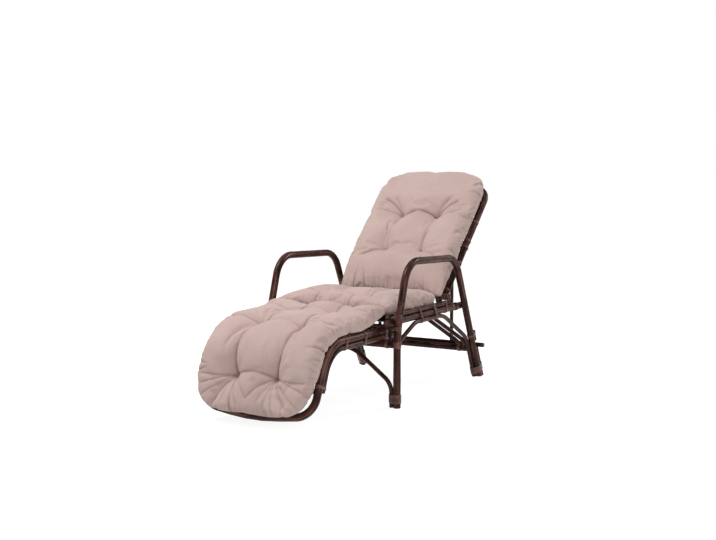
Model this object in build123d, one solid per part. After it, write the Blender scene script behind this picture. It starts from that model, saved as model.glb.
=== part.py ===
from build123d import *
from math import atan2, cos, degrees, hypot, radians, sin, sqrt, tan
import os

# Rattan sun lounger, in millimetres: +X is the sitter's left, -Y the foot end, +Z up.
# The arm's front corner is at y = 0 while the pieces are made. They are moved at the end,
# so that the origin is under the middle of the finished lounger.

# Pole thicknesses
pole_dia = 30.0  # legs, arms, rails, stretchers, back and footrest loops
cap_dia = 20.0  # upper seat rails
doubler_dia = 22.0  # second pole under the footrest's sides
brace_dia = 18.0  # arched braces
bar_dia = 20.0  # hinge bars and the stay's foot bar
heel_dia = 20.0  # rest poles behind the rear legs
stay_dia = 16.0  # uprights of the back's stay
rear_bar_dia = 22.0  # cross bar behind the seat
slat_dia = 12.0  # canes along the seat
cane_dia = 8.0  # canes across the back and the footrest
post_dia = 12.0  # short guide posts beside the footrest
cane_side_count = 8

# Fits
tie_gap = 0.3  # between poles that are tied together
hinge_play = 0.1  # radial, cane sleeves on their bar
slide_gap = 0.3  # under and over the bands on the footrest's sliding sides
soft_gap = 0.4  # under each pad
overrun = 5.0  # how far a cut runs past what it cuts

# Side frames: one pole is front leg, arm and rear leg
arm_spread = 610.0
front_leg_y = -85.0
leg_knee_z = 300.0
arm_front_y = -1.0
arm_front_z = 571.0
arm_rear_y = 440.0
arm_rear_z = 556.0
rear_foot_y = 699.0
leg_knee_radius = 500.0
arm_bend_radius = 92.0

# Seat
seat_rail_z = 336.5
rail_front_y = -118.0
cap_front_y = -112.0
cap_rear_y = 446.0
rear_bar_y = 487.0
rear_bar_over = 5.0
tail_length = 88.0
front_slat_bar_y = 12.0
rear_slat_bar_y = 372.0
slat_bar_count = 3
slat_count = 11
slat_over = 22.0
slat_margin = 40.0
rear_stretcher_z = 136.0
rear_stretcher_setback = 10.0

# Arched braces
side_arch_leave_front_z = 228.0
side_arch_leave_rear_z = 190.0
side_arch_flat_front_y = 115.0
side_arch_flat_rear_y = 353.0
side_arch_foot_radius = 75.0
side_arch_top_radius = 120.0
front_arch_leave_z = 94.0
front_arch_flat_half = 105.0
front_arch_shoulder_radius = 75.0
front_arch_top_radius = 150.0
rear_arch_leave_z = 178.0
rear_arch_flat_half = 122.0
rear_arch_shoulder_radius = 55.0
rear_arch_top_radius = 75.0
rear_arch_gap = 8.0

# Footrest, drawn out
footrest_spread = 490.0
footrest_rear_y = 20.0
footrest_knee_y = -500.0
footrest_knee_radius = 150.0
calf_rise = 0.41  # run per unit of height of the calf's slope
calf_corner_z = 58.0
calf_toe_z = 30.0
calf_corner_radius = 80.0
calf_toe_radius = 900.0
doubler_end_z = 134.0
footrest_bar_places = (26.0, 425.0, 670.0)  # along the poles, from their rear ends
footrest_canes_between = (2, 8, 6)

# Backrest, at the lean of its first notch
back_spread = 524.0
back_lean = 44.0  # degrees above level
back_length = 662.0
back_corner_radius = 92.0
back_bow = 8.0
back_top_radius = 1400.0
hinge_bar_y = 420.0
hinge_bar_over = 18.0
hinge_sleeve_wall = 5.0
hinge_sleeve_width = 26.0
back_bar_places = (70.0, 314.0, 560.0)  # along the poles, from the hinge
back_canes_between = 6

# Stay that props the back, and the rests it stands in
stay_spread = 372.0
foot_bar_over = 41.0  # how far the foot bar reaches past the legs
foot_bar_z = 150.0
notch_headroom = 10.0
heel_top_z = 214.0
stay_sleeve_wall = 4.0
stay_sleeve_width = 22.0

# Cane bindings
band_thick = 1.6
band_play = 0.05
foot_band_z = 18.0
foot_band_wide = 34.0
rail_band_wide = 15.0
small_band_wide = 12.0
rail_band_front_y = -28.0
arched_band_places = (156.0, 296.0)
saddle_share = 0.6  # how much of the hinge bar's free end is wound

# Pads
pad_half = 260.0
pad_waist = 7.0  # how far the sides pull in between corners
seat_pad_thick = 50.0
seat_pad_crown = 13.0
seat_pad_front_y = -92.0
seat_pad_rear_y = 354.0
foot_pad_thick = 46.0
foot_pad_crown = 14.0
foot_pad_rear_y = -100.0
foot_pad_end_over = 30.0
foot_pad_lift = 40.0  # the rear end rises to the seat pad
foot_pad_ramp = 170.0  # length over which it rises
foot_pad_waist = 5.0
pad_free_end = 86.0  # length over which a free end rounds off
pad_free_corner = 78.0  # how far the corners draw in at a free end
pad_met_end = 46.0  # the same two where a pad meets the next one
pad_met_corner = 16.0
pad_side_share = 0.32  # bulge of a side as a share of its thickness
pad_end_shares = (
    (0.0, 1.0, 0.38),
    (0.06, 0.66, 0.70),
    (0.2, 0.4, 0.92),
    (0.5, 0.134, 1.0),
    (1.0, 0.0, 1.0),
)  # distance from the end, how much of the corner is drawn in, and thickness
back_pad_thick = 50.0
back_pad_crown = 15.0
back_pad_start = 1.0
back_pad_end = 712.0
tuft_half = 86.0
tuft_depth = 17.0
tuft_radius = 30.0
crease_depth = 6.0
crease_radius = 22.0
seat_tuft_front_y = 50.0
seat_tuft_rear_y = 262.0
back_tuft_low = 200.0
back_tuft_high = 412.0
foot_tuft_rear_y = -200.0
knee_tuft_share = 0.12  # how far round the knee its tufts are
calf_tuft_share = 0.26  # how far down the calf its tufts are
seat_middle_slices = 3
back_middle_slices = 5
ramp_slices = 5
calf_slices = 2
knee_slices = 11

# Derived radii
pole_r = pole_dia / 2
cap_r = cap_dia / 2
doubler_r = doubler_dia / 2
brace_r = brace_dia / 2
bar_r = bar_dia / 2
heel_r = heel_dia / 2
rear_bar_r = rear_bar_dia / 2
slat_r = slat_dia / 2
cane_r = cane_dia / 2

# Derived places, across
arm_x = arm_spread / 2
rail_x = arm_x - pole_dia - tie_gap
arch_x = (arm_x + rail_x) / 2
footrest_x = footrest_spread / 2
back_x = back_spread / 2
stay_x = stay_spread / 2
foot_bar_half = arm_x + foot_bar_over

# Derived places, heights
cap_z = seat_rail_z + pole_r + cap_r + tie_gap
cap_top_z = cap_z + cap_r
slat_z = seat_rail_z + pole_r + slat_r + tie_gap
slat_top_z = slat_z + slat_r
slide_room = band_play + band_thick + slide_gap
footrest_z = seat_rail_z - pole_dia - slide_room
doubler_drop = pole_r + doubler_r + tie_gap
doubler_z = footrest_z - doubler_drop
front_stretcher_z = doubler_z - doubler_r - slide_room - pole_r
hinge_sleeve_r = bar_r + hinge_sleeve_wall
hinge_z = cap_top_z + hinge_sleeve_r + tie_gap
stay_sleeve_r = bar_r + stay_sleeve_wall

# The rear leg's line, and places behind it
leg_slope = (rear_foot_y - arm_rear_y) / arm_rear_z
leg_slant = sqrt(1 + leg_slope * leg_slope)
heel_setback = (pole_r + heel_r + tie_gap) * leg_slant
foot_bar_setback = (pole_r + bar_r + tie_gap) * leg_slant


def rear_leg_y(z):
    """Where the rear leg's centre line is at a height."""
    return rear_foot_y - leg_slope * z


rear_stretcher_y = rear_leg_y(rear_stretcher_z) - rear_stretcher_setback
foot_bar_y = rear_leg_y(foot_bar_z) + foot_bar_setback
arch_tie = sqrt((pole_r + brace_r + tie_gap) ** 2 - (arm_x - arch_x) ** 2)
rail_tie = sqrt((pole_r + brace_r + tie_gap) ** 2 - (arch_x - rail_x) ** 2)

# The back's own directions: along its poles, and out of its front face
lean = radians(back_lean)


def on_back(x, along, out):
    """A point on the back from its place across, along the poles and out of their front."""
    y = hinge_bar_y + along * cos(lean) - out * sin(lean)
    z = hinge_z + along * sin(lean) + out * cos(lean)
    return (x, y, z)


stay_hinge_out = -(pole_r + bar_r + tie_gap)
stay_hinge_along = (foot_bar_y - hinge_bar_y + stay_hinge_out * sin(lean)) / cos(lean)
stay_hinge = on_back(0, stay_hinge_along, stay_hinge_out)

# The calf's slope
calf_slant = sqrt(1 + calf_rise * calf_rise)
calf_angle = degrees(atan2(1, calf_rise))


def calf_y(z):
    """Where the footrest pole's centre line is at a height on the calf."""
    return footrest_knee_y - (footrest_z - z) * calf_rise


def rod(start, end, dia):
    """A straight round pole with square ends."""
    run = Vector(*end) - Vector(*start)
    return extrude(Plane(origin=start, z_dir=run) * Circle(dia / 2), run.length)


def cane(start, end, dia):
    """A thin straight cane, scraped to flats all round."""
    run = Vector(*end) - Vector(*start)
    flats = RegularPolygon(dia / 2, cane_side_count)
    return extrude(Plane(origin=start, z_dir=run) * flats, run.length)


def bent(points, radii, dia):
    """A round pole bent through points, with a radius for each corner."""
    path = FilletPolyline(*points, radius=radii)
    run = Vector(*points[1]) - Vector(*points[0])
    return sweep(Plane(origin=points[0], z_dir=run) * Circle(dia / 2), path=path)


def above(z):
    """A large block that reaches down to a height, to cut away what is above it."""
    span = 2 * (rear_foot_y + arm_rear_z)
    return Pos(0, 0, z + span / 2) * Box(span, span, span)


def below(z):
    """A large block that reaches up to a height, to cut away what is below it."""
    span = 2 * (rear_foot_y + arm_rear_z)
    return Pos(0, 0, z - span / 2) * Box(span, span, span)


def group(pieces):
    """Separate solids kept together as one named piece."""
    solids = []
    for piece in pieces:
        solids.extend(piece.solids())
    return Compound(children=solids)


def ring(plane, spots, wide):
    """A band of cane pulled round the poles at the spots (x, y, radius) of a plane."""
    grown = [(Pos(x, y) * Circle(r + band_play + band_thick)).edge() for x, y, r in spots]
    held = [(Pos(x, y) * Circle(r + band_play)).edge() for x, y, r in spots]
    outer = extrude(plane * make_hull(grown), wide / 2, both=True)
    inner = extrude(plane * make_hull(held), wide / 2 + overrun, both=True)
    return outer - inner


def sleeve(centre, wide, bore_r, outer_r):
    """A cane sleeve that turns on a bar along X."""
    plane = Plane(origin=centre, z_dir=(1, 0, 0))
    return extrude(plane * (Circle(outer_r) - Circle(bore_r)), wide / 2, both=True)


# Side frames
def arm_pole(side):
    """One pole bent into front leg, arm and rear leg."""
    x = side * arm_x
    toe_z = -pole_dia
    points = [
        (x, front_leg_y, toe_z),
        (x, front_leg_y, leg_knee_z),
        (x, arm_front_y, arm_front_z),
        (x, arm_rear_y, arm_rear_z),
        (x, rear_leg_y(toe_z), toe_z),
    ]
    radii = [leg_knee_radius, arm_bend_radius, arm_bend_radius]
    return bent(points, radii, pole_dia) - below(0)


def heel_rest(side):
    """Two poles behind a rear leg, with the notch that the stay's foot bar lies in between."""
    x = side * arm_x
    toe_z = -pole_dia

    def at(z):
        return (x, rear_leg_y(z) + heel_setback, z)

    whole = rod(at(toe_z), at(heel_top_z), heel_dia)
    notch_floor = foot_bar_z - bar_r - slide_gap
    notch_roof = foot_bar_z + bar_r + notch_headroom
    lower = whole - above(notch_floor) - below(0)
    upper = whole - below(notch_roof)
    return group([lower, upper])


def side_arch(side):
    """Arched brace up the front leg, under the seat rail and down the rear leg."""
    x = side * arch_x
    toe_z = -pole_dia
    front_y = front_leg_y + arch_tie
    rear_tie = arch_tie * leg_slant
    top_z = seat_rail_z - rail_tie
    points = [
        (x, front_y, toe_z),
        (x, front_y, side_arch_leave_front_z),
        (x, side_arch_flat_front_y, top_z),
        (x, side_arch_flat_rear_y, top_z),
        (x, rear_leg_y(side_arch_leave_rear_z) - rear_tie, side_arch_leave_rear_z),
        (x, rear_leg_y(toe_z) - rear_tie, toe_z),
    ]
    radii = [
        side_arch_foot_radius,
        side_arch_top_radius,
        side_arch_top_radius,
        side_arch_foot_radius,
    ]
    return bent(points, radii, brace_dia) - below(0)


def along_x(half, y, z, dia):
    """A straight pole across the lounger."""
    return rod((-half, y, z), (half, y, z), dia)


def between_legs(whole):
    """What is left of a cross pole between the side frames, its ends shaped to them."""
    for side in (-1, 1):
        whole -= arm_pole(side)
        whole -= side_arch(side)
    return max(whole.solids(), key=lambda piece: piece.volume)


def front_stretcher():
    """Pole between the front legs, which the footrest slides over."""
    whole = along_x(arm_x, front_leg_y, front_stretcher_z, pole_dia)
    return between_legs(whole)


def rear_stretcher():
    """Pole between the rear legs, low down."""
    return between_legs(along_x(arm_x, rear_stretcher_y, rear_stretcher_z, pole_dia))


def front_arch():
    """Arched brace across the front legs, tied under the front stretcher."""
    x = arm_x - pole_r - brace_r - tie_gap
    top_z = front_stretcher_z - pole_r - brace_r - tie_gap
    right_half = [
        (x, front_leg_y, -pole_dia),
        (x, front_leg_y, front_arch_leave_z),
        (front_arch_flat_half, front_leg_y, top_z),
    ]
    left_half = [(-px, py, pz) for px, py, pz in reversed(right_half)]
    radii = [
        front_arch_shoulder_radius,
        front_arch_top_radius,
        front_arch_top_radius,
        front_arch_shoulder_radius,
    ]
    return bent(right_half + left_half, radii, brace_dia) - below(0)


rear_arch_top_z = seat_rail_z - rear_bar_r - brace_r - tie_gap
rear_arch_slope = (rear_stretcher_y - rear_bar_y) / (rear_arch_top_z - rear_stretcher_z)


def on_rear_arch(x, z):
    """A point in the leaning plane of the arches between the rear legs."""
    return (x, rear_bar_y + (rear_arch_top_z - z) * rear_arch_slope, z)


def rear_arch(inset):
    """One of two nested arches that stand on the rear stretcher, tied under the rear bar."""
    x = arch_x - brace_dia - tie_gap - inset
    right_half = [
        on_rear_arch(x, rear_stretcher_z),
        on_rear_arch(x, rear_arch_leave_z - inset / 2),
        on_rear_arch(rear_arch_flat_half - inset / 2, rear_arch_top_z - inset),
    ]
    left_half = [(-px, py, pz) for px, py, pz in reversed(right_half)]
    radii = [
        rear_arch_shoulder_radius,
        rear_arch_top_radius,
        rear_arch_top_radius,
        rear_arch_shoulder_radius,
    ]
    stretcher = along_x(arm_x, rear_stretcher_y, rear_stretcher_z, pole_dia + 2 * tie_gap)
    return bent(right_half + left_half, radii, brace_dia) - stretcher


# Seat
def seat_rail(side):
    """Lower side rail, from ahead of the front leg to the bar behind the seat."""
    x = side * rail_x
    whole = rod((x, rail_front_y, seat_rail_z), (x, rear_bar_y, seat_rail_z), pole_dia)
    return whole - along_x(arm_x, rear_bar_y, seat_rail_z, rear_bar_dia + 2 * tie_gap)


def seat_cap(side):
    """Thinner rail tied along the top of a side rail."""
    x = side * rail_x
    return rod((x, cap_front_y, cap_z), (x, cap_rear_y, cap_z), cap_dia)


def rail_tail(side):
    """Short pole from the rear bar to the rear leg, in line with the side rail."""
    x = side * rail_x
    whole = rod((x, rear_bar_y, seat_rail_z), (x, rear_bar_y + tail_length, seat_rail_z), pole_dia)
    return whole - along_x(arm_x, rear_bar_y, seat_rail_z, rear_bar_dia + 2 * tie_gap)


def rear_bar():
    """Bar across the chair behind the seat, with its ends in view."""
    return along_x(rail_x + pole_r + rear_bar_over, rear_bar_y, seat_rail_z, rear_bar_dia)


def seat_bars():
    """Bars between the side rails, which carry the slats and hold the footrest down."""
    half = rail_x - pole_r - tie_gap
    step = (rear_slat_bar_y - front_slat_bar_y) / (slat_bar_count - 1)
    places = [front_slat_bar_y + step * i for i in range(slat_bar_count)]
    return group([along_x(half, y, seat_rail_z, pole_dia) for y in places])


def seat_slats():
    """Canes that run along the seat on its bars."""
    half = rail_x - cap_r - slat_margin
    step = 2 * half / (slat_count - 1)
    start = front_slat_bar_y - slat_over
    end = rear_slat_bar_y + slat_over
    places = [step * i - half for i in range(slat_count)]
    return group([cane((x, start, slat_z), (x, end, slat_z), slat_dia) for x in places])


def guide_post(side):
    """Short post between front stretcher and rail, beside the footrest's sliding side."""
    x = side * rail_x
    whole = rod((x, front_leg_y, front_stretcher_z), (x, front_leg_y, seat_rail_z), post_dia)
    whole -= along_x(arm_x, front_leg_y, front_stretcher_z, pole_dia + 2 * tie_gap)
    rail = rod((x, rail_front_y, seat_rail_z), (x, rear_bar_y, seat_rail_z), pole_dia + 2 * tie_gap)
    return whole - rail


def hinge_bar():
    """Bar that lies over the seat rails, which the back turns on."""
    return along_x(rail_x + hinge_bar_over, hinge_bar_y, hinge_z, bar_dia)


def hinge_saddles():
    """Cane wound round the hinge bar's ends, on top of the rails."""
    inner = back_x + hinge_sleeve_width / 2
    outer = rail_x + hinge_bar_over
    wide = (outer - inner) * saddle_share
    x = outer - (outer - inner) * (1 - saddle_share) / 2 - wide / 2
    places = [(side * x, hinge_bar_y, hinge_z) for side in (-1, 1)]
    return group([sleeve(place, wide, bar_r + band_play, hinge_sleeve_r) for place in places])


rail_band_rear_y = (rear_slat_bar_y + pole_r + hinge_bar_y - hinge_sleeve_r) / 2


def facing_foot(y):
    """A plane across the lounger that faces its foot end, with +Z up in it."""
    return Plane(origin=(0, y, 0), x_dir=(1, 0, 0), z_dir=(0, -1, 0))


def frame_bands():
    """Cane bindings that hold the frame's poles together."""
    across = Plane(origin=(0, 0, foot_band_z + foot_band_wide / 2))
    stand_z = foot_band_z + foot_band_wide * leg_slant / 2
    slanted = Plane(origin=(0, rear_leg_y(stand_z), stand_z), x_dir=(1, 0, 0), z_dir=(0, -leg_slope, 1))
    top_z = seat_rail_z - rail_tie
    bands = []
    for side in (-1, 1):
        arch_foot_x = arm_x - pole_r - brace_r - tie_gap
        front = [
            (side * arm_x, front_leg_y, pole_r),
            (side * arch_x, front_leg_y + arch_tie, brace_r),
            (side * arch_foot_x, front_leg_y, brace_r),
        ]
        rear = [
            (side * arm_x, 0, pole_r),
            (side * arch_x, -arch_tie, brace_r),
            (side * arm_x, pole_r + heel_r + tie_gap, heel_r),
        ]
        rails = [(side * rail_x, seat_rail_z, pole_r), (side * rail_x, cap_z, cap_r)]
        arched = rails + [(side * arch_x, top_z, brace_r)]
        bands.append(ring(across, front, foot_band_wide))
        bands.append(ring(slanted, rear, foot_band_wide))
        for y in (rail_band_front_y, rail_band_rear_y):
            bands.append(ring(facing_foot(y), rails, rail_band_wide))
        for y in arched_band_places:
            bands.append(ring(facing_foot(y), arched, rail_band_wide))
    return group(bands)


# Footrest
def footrest_loop():
    """One pole: both sliding sides, the knees, the calf and the toe bow."""
    corner = (footrest_x, calf_y(calf_corner_z), calf_corner_z)
    near_half = [
        (footrest_x, footrest_rear_y, footrest_z),
        (footrest_x, footrest_knee_y, footrest_z),
        corner,
    ]
    far_half = [(-px, py, pz) for px, py, pz in reversed(near_half)]
    toe = [(0, calf_y(calf_toe_z), calf_toe_z)]
    radii = [
        footrest_knee_radius,
        calf_corner_radius,
        calf_toe_radius,
        calf_corner_radius,
        footrest_knee_radius,
    ]
    return bent(near_half + toe + far_half, radii, pole_dia)


def footrest_doubler(side):
    """Second pole under a sliding side and behind the calf, cut off above the toe bow."""
    x = side * footrest_x
    behind = doubler_drop * calf_slant
    points = [
        (x, footrest_rear_y, doubler_z),
        (x, calf_y(doubler_z) + behind, doubler_z),
        (x, calf_y(doubler_end_z) + behind, doubler_end_z),
    ]
    return bent(points, [footrest_knee_radius - doubler_drop], doubler_dia)


knee_half_turn = radians(calf_angle) / 2
footrest_flat = footrest_rear_y - footrest_knee_y - footrest_knee_radius * tan(knee_half_turn)
footrest_bend = footrest_knee_radius * 2 * knee_half_turn


def on_footrest(far, out):
    """Place (y, z) and turn at a distance along the footrest's poles and out of their top."""
    turn = max(0.0, min(far - footrest_flat, footrest_bend)) / footrest_knee_radius
    down = max(0.0, far - footrest_flat - footrest_bend)
    centre_y = footrest_rear_y - min(far, footrest_flat)
    centre_z = footrest_z - footrest_knee_radius
    radius = footrest_knee_radius + out
    y = centre_y - radius * sin(turn) - down * cos(turn)
    z = centre_z + radius * cos(turn) - down * sin(turn)
    return y, z, turn


def footrest_span(half, far, out):
    """Both ends of a pole across the footrest."""
    y, z, turn = on_footrest(far, out)
    return (-half, y, z), (half, y, z)


def cane_reach(side_x):
    """Half length of a cane let in near the top of two side poles."""
    low = pole_r - cane_dia
    return side_x - sqrt(pole_r * pole_r - low * low) - tie_gap


def between(start, end, count):
    """Places that divide a run evenly."""
    return [start + (end - start) * (i + 1) / (count + 1) for i in range(count)]


rear_bar_far, knee_bar_far, calf_bar_far = footrest_bar_places

# The band that rests on the front stretcher takes a cane's place
rest_far = footrest_rear_y - front_leg_y
footrest_stations = (rear_bar_far, rest_far, knee_bar_far, calf_bar_far)


def footrest_bars():
    """Bars between the footrest's sides."""
    half = footrest_x - pole_r - tie_gap
    return group([rod(*footrest_span(half, far, 0), bar_dia) for far in footrest_bar_places])


def footrest_canes():
    """Canes across the footrest, set near the top of its side poles, between its bars."""
    half = cane_reach(footrest_x)
    places = []
    for start, end, count in zip(footrest_stations, footrest_stations[1:], footrest_canes_between):
        places += between(start, end, count)
    return group([cane(*footrest_span(half, far, pole_r - cane_r), cane_dia) for far in places])


def footrest_bands():
    """Cane bindings round the footrest's doubled sides, between its canes.

    The first lies under the front bar of the seat and the second on the front stretcher.
    """
    top_count, calf_count = footrest_canes_between[1:]
    places = [
        footrest_rear_y - front_slat_bar_y,
        rest_far,
        (rest_far + knee_bar_far) / 2,
        knee_bar_far - (knee_bar_far - rest_far) / (top_count + 1) / 2,
        calf_bar_far - (calf_bar_far - knee_bar_far) / (calf_count + 1) / 2,
    ]
    bands = []
    for side in (-1, 1):
        x = side * footrest_x
        pair = [(x, 0, pole_r), (x, -doubler_drop, doubler_r)]
        for far in places:
            y, z, turn = on_footrest(far, 0)
            plane = Plane(origin=(0, y, z), x_dir=(1, 0, 0), z_dir=(0, -cos(turn), -sin(turn)))
            bands.append(ring(plane, pair, small_band_wide))
    return group(bands)


# Backrest
def back_loop():
    """One pole: both sides of the back and its bowed top."""
    near_half = [on_back(back_x, 0, 0), on_back(back_x, back_length, 0)]
    far_half = [on_back(-back_x, back_length, 0), on_back(-back_x, 0, 0)]
    top = [on_back(0, back_length + back_bow, 0)]
    radii = [back_corner_radius, back_top_radius, back_corner_radius]
    whole = bent(near_half + top + far_half, radii, pole_dia)
    return whole - along_x(arm_x, hinge_bar_y, hinge_z, 2 * (hinge_sleeve_r + tie_gap))


def back_sleeves():
    """Cane sleeves on the back's pole ends, which turn on the hinge bar."""
    places = [(side * back_x, hinge_bar_y, hinge_z) for side in (-1, 1)]
    bore_r = bar_r + hinge_play
    return group([sleeve(place, hinge_sleeve_width, bore_r, hinge_sleeve_r) for place in places])


def back_span(half, along, out):
    """Both ends of a pole across the back."""
    return on_back(-half, along, out), on_back(half, along, out)


def back_bars():
    """Bars between the back's side poles."""
    half = back_x - pole_r - tie_gap
    return group([rod(*back_span(half, along, 0), bar_dia) for along in back_bar_places])


def back_canes():
    """Canes across the back, set near the front of its side poles, between its bars."""
    half = cane_reach(back_x)
    places = []
    for start, end in zip(back_bar_places, back_bar_places[1:]):
        places += between(start, end, back_canes_between)
    return group([cane(*back_span(half, along, pole_r - cane_r), cane_dia) for along in places])


def back_bands():
    """Cane wound round the back's side poles, between its canes."""
    places = [back_bar_places[0] / 2]
    for start, end in zip(back_bar_places, back_bar_places[1:]):
        places.append((start + end) / 2)
    bands = []
    for side in (-1, 1):
        for along in places:
            start = on_back(side * back_x, along - small_band_wide / 2, 0)
            end = on_back(side * back_x, along + small_band_wide / 2, 0)
            whole = rod(start, end, pole_dia + 2 * (band_play + band_thick))
            bands.append(whole - rod(start, end, pole_dia + 2 * band_play))
    return group(bands)


def stay_bar():
    """Bar tied behind the back, which the stay swings on."""
    return rod(*back_span(back_x, stay_hinge_along, stay_hinge_out), bar_dia)


# Stay
def stay_poles():
    """The stay's two uprights, from the back down to the foot bar."""
    poles = []
    for side in (-1, 1):
        x = side * stay_x
        whole = rod((x, foot_bar_y, foot_bar_z), (x, stay_hinge[1], stay_hinge[2]), stay_dia)
        whole -= along_x(arm_x, foot_bar_y, foot_bar_z, bar_dia + 2 * tie_gap)
        whole -= along_x(arm_x, stay_hinge[1], stay_hinge[2], 2 * (stay_sleeve_r + tie_gap))
        poles.append(whole)
    return group(poles)


def stay_sleeves():
    """Cane sleeves at the top of the stay, which turn on the bar behind the back."""
    places = [(side * stay_x, stay_hinge[1], stay_hinge[2]) for side in (-1, 1)]
    bore_r = bar_r + hinge_play
    return group([sleeve(place, stay_sleeve_width, bore_r, stay_sleeve_r) for place in places])


def foot_bar():
    """Bar across the stay's foot, which lies in the notches behind the rear legs."""
    return along_x(foot_bar_half, foot_bar_y, foot_bar_z, bar_dia)


# Pads
def pad_slice(plane, half, thick, crown, lift):
    """Cross section of a pad: flat below, bulging sides and a crowned top."""
    side = thick * pad_side_share
    edge = half - side
    low = lift
    high = lift + thick
    outline = [
        Line((-edge, low), (edge, low)),
        ThreePointArc((edge, low), (half, (low + high) / 2), (edge, high)),
        ThreePointArc((edge, high), (0, high + crown), (-edge, high)),
        ThreePointArc((-edge, high), (-half, (low + high) / 2), (-edge, low)),
    ]
    return plane * make_face(outline)


free_end = (pad_free_end, pad_free_corner)
met_end = (pad_met_end, pad_met_corner)


def padded(place, length, thick, crown, waist, middle, last):
    """A pad lofted through sections, where place(distance) gives each section's plane.

    It starts where it meets another pad, and last gives how its other end rounds off.
    """
    first_long, first_corner = met_end
    last_long, last_corner = last
    rows = [(first_long * far, first_corner * inset, full) for far, inset, full in pad_end_shares]
    for far in middle:
        u = (far - first_long) / (length - first_long - last_long)
        rows.append((far, waist * 4 * u * (1 - u), 1.0))
    for far, inset, full in reversed(pad_end_shares):
        rows.append((length - last_long * far, last_corner * inset, full))
    slices = []
    for far, inset, full in rows:
        height = thick * full
        lift = (thick - height) / 2
        slices.append(pad_slice(place(far), pad_half - inset, height, crown * full, lift))
    return loft(slices, ruled=True)


def tufts(place, rows, thick, crown):
    """Cutters for sewn tufts and the creases between them, in rows along a pad."""
    reach = pad_half - thick * pad_side_share
    drop = crown * (tuft_half / reach) ** 2
    cutters = []
    for far in rows:
        plane = place(far)
        for side in (-1, 1):
            high = thick + crown - drop + tuft_radius - tuft_depth
            cutters.append(plane * Pos(side * tuft_half, high, 0) * Sphere(tuft_radius))
        high = thick + crown - drop + crease_radius - crease_depth
        crease = Pos(0, high, 0) * Rot(0, 90, 0) * Cylinder(crease_radius, 2 * pad_half)
        cutters.append(plane * crease)
    return cutters


def seams(place, start, end, thick, crown):
    """Cutters for the two creases that run lengthwise between the tufts."""
    reach = pad_half - thick * pad_side_share
    drop = crown * (tuft_half / reach) ** 2
    high = thick + crown - drop + crease_radius - crease_depth
    cutters = []
    for side in (-1, 1):
        low_end = place(start).from_local_coords((side * tuft_half, high, 0))
        high_end = place(end).from_local_coords((side * tuft_half, high, 0))
        cutters.append(rod(tuple(low_end), tuple(high_end), 2 * crease_radius))
    return cutters


seat_pad_base = slat_top_z + soft_gap


def seat_place(far):
    """Section plane of the seat pad at a distance from its front edge."""
    return Plane(origin=(0, seat_pad_front_y + far, seat_pad_base), x_dir=(1, 0, 0), z_dir=(0, -1, 0))


def seat_pad():
    """Tufted pad on the seat."""
    length = seat_pad_rear_y - seat_pad_front_y
    middle = between(pad_met_end, length - pad_met_end, seat_middle_slices)
    whole = padded(seat_place, length, seat_pad_thick, seat_pad_crown, pad_waist, middle, met_end)
    rows = [seat_tuft_front_y - seat_pad_front_y, seat_tuft_rear_y - seat_pad_front_y]
    for cutter in tufts(seat_place, rows, seat_pad_thick, seat_pad_crown):
        whole -= cutter
    for cutter in seams(seat_place, rows[0], rows[1], seat_pad_thick, seat_pad_crown):
        whole -= cutter
    return whole


back_pad_out = pole_r + soft_gap


def back_place(far):
    """Section plane of the back pad at a distance from its lower end."""
    origin = on_back(0, back_pad_start + far, back_pad_out)
    return Plane(origin=origin, x_dir=(1, 0, 0), z_dir=(0, -cos(lean), -sin(lean)))


def back_pad():
    """Tufted pad on the back, whose lower end hangs behind the seat pad."""
    length = back_pad_end - back_pad_start
    middle = between(pad_met_end, length - pad_free_end, back_middle_slices)
    whole = padded(back_place, length, back_pad_thick, back_pad_crown, pad_waist, middle, free_end)
    rows = [back_tuft_low - back_pad_start, back_tuft_high - back_pad_start]
    for cutter in tufts(back_place, rows, back_pad_thick, back_pad_crown):
        whole -= cutter
    for cutter in seams(back_place, rows[0], rows[1], back_pad_thick, back_pad_crown):
        whole -= cutter
    return whole


# Distances along the foot pad, from its rear end on its under side, which lies on the bands
foot_pad_out = pole_r + band_play + band_thick + soft_gap
foot_pad_offset = footrest_rear_y - foot_pad_rear_y
foot_pad_flat = footrest_flat - foot_pad_offset
foot_pad_bend = footrest_bend * (footrest_knee_radius + foot_pad_out) / footrest_knee_radius
calf_end = hypot(calf_y(calf_toe_z) - calf_y(footrest_z), footrest_z - calf_toe_z)
calf_straight = calf_end - footrest_knee_radius * tan(knee_half_turn) + foot_pad_end_over
foot_pad_length = foot_pad_flat + foot_pad_bend + calf_straight


def foot_place(far):
    """Section plane of the foot pad: down from the seat pad, round the knee, down the calf."""
    share = max(0.0, 1 - far / foot_pad_ramp)
    lift = foot_pad_lift * share * share * (3 - 2 * share)
    bend = max(0.0, min(far - foot_pad_flat, foot_pad_bend))
    spare = bend * foot_pad_out / (footrest_knee_radius + foot_pad_out)
    y, z, turn = on_footrest(foot_pad_offset + far - spare, foot_pad_out)
    return Plane(origin=(0, y, z + lift), x_dir=(1, 0, 0), z_dir=(0, -cos(turn), -sin(turn)))


def foot_pad():
    """Tufted pad on the footrest, bent over its knee."""
    knee_end = foot_pad_flat + foot_pad_bend
    knee_places = [foot_pad_flat] + between(foot_pad_flat, knee_end, knee_slices) + [knee_end]
    middle = between(pad_met_end, foot_pad_flat, ramp_slices) + knee_places
    middle += between(knee_end, foot_pad_length - pad_free_end, calf_slices)
    whole = padded(
        foot_place, foot_pad_length, foot_pad_thick, foot_pad_crown, foot_pad_waist, middle, free_end
    )
    rows = [
        foot_pad_rear_y - foot_tuft_rear_y,
        foot_pad_flat + foot_pad_bend * knee_tuft_share,
        knee_end + calf_straight * calf_tuft_share,
    ]
    for cutter in tufts(foot_place, rows, foot_pad_thick, foot_pad_crown):
        whole -= cutter
    return whole


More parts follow.
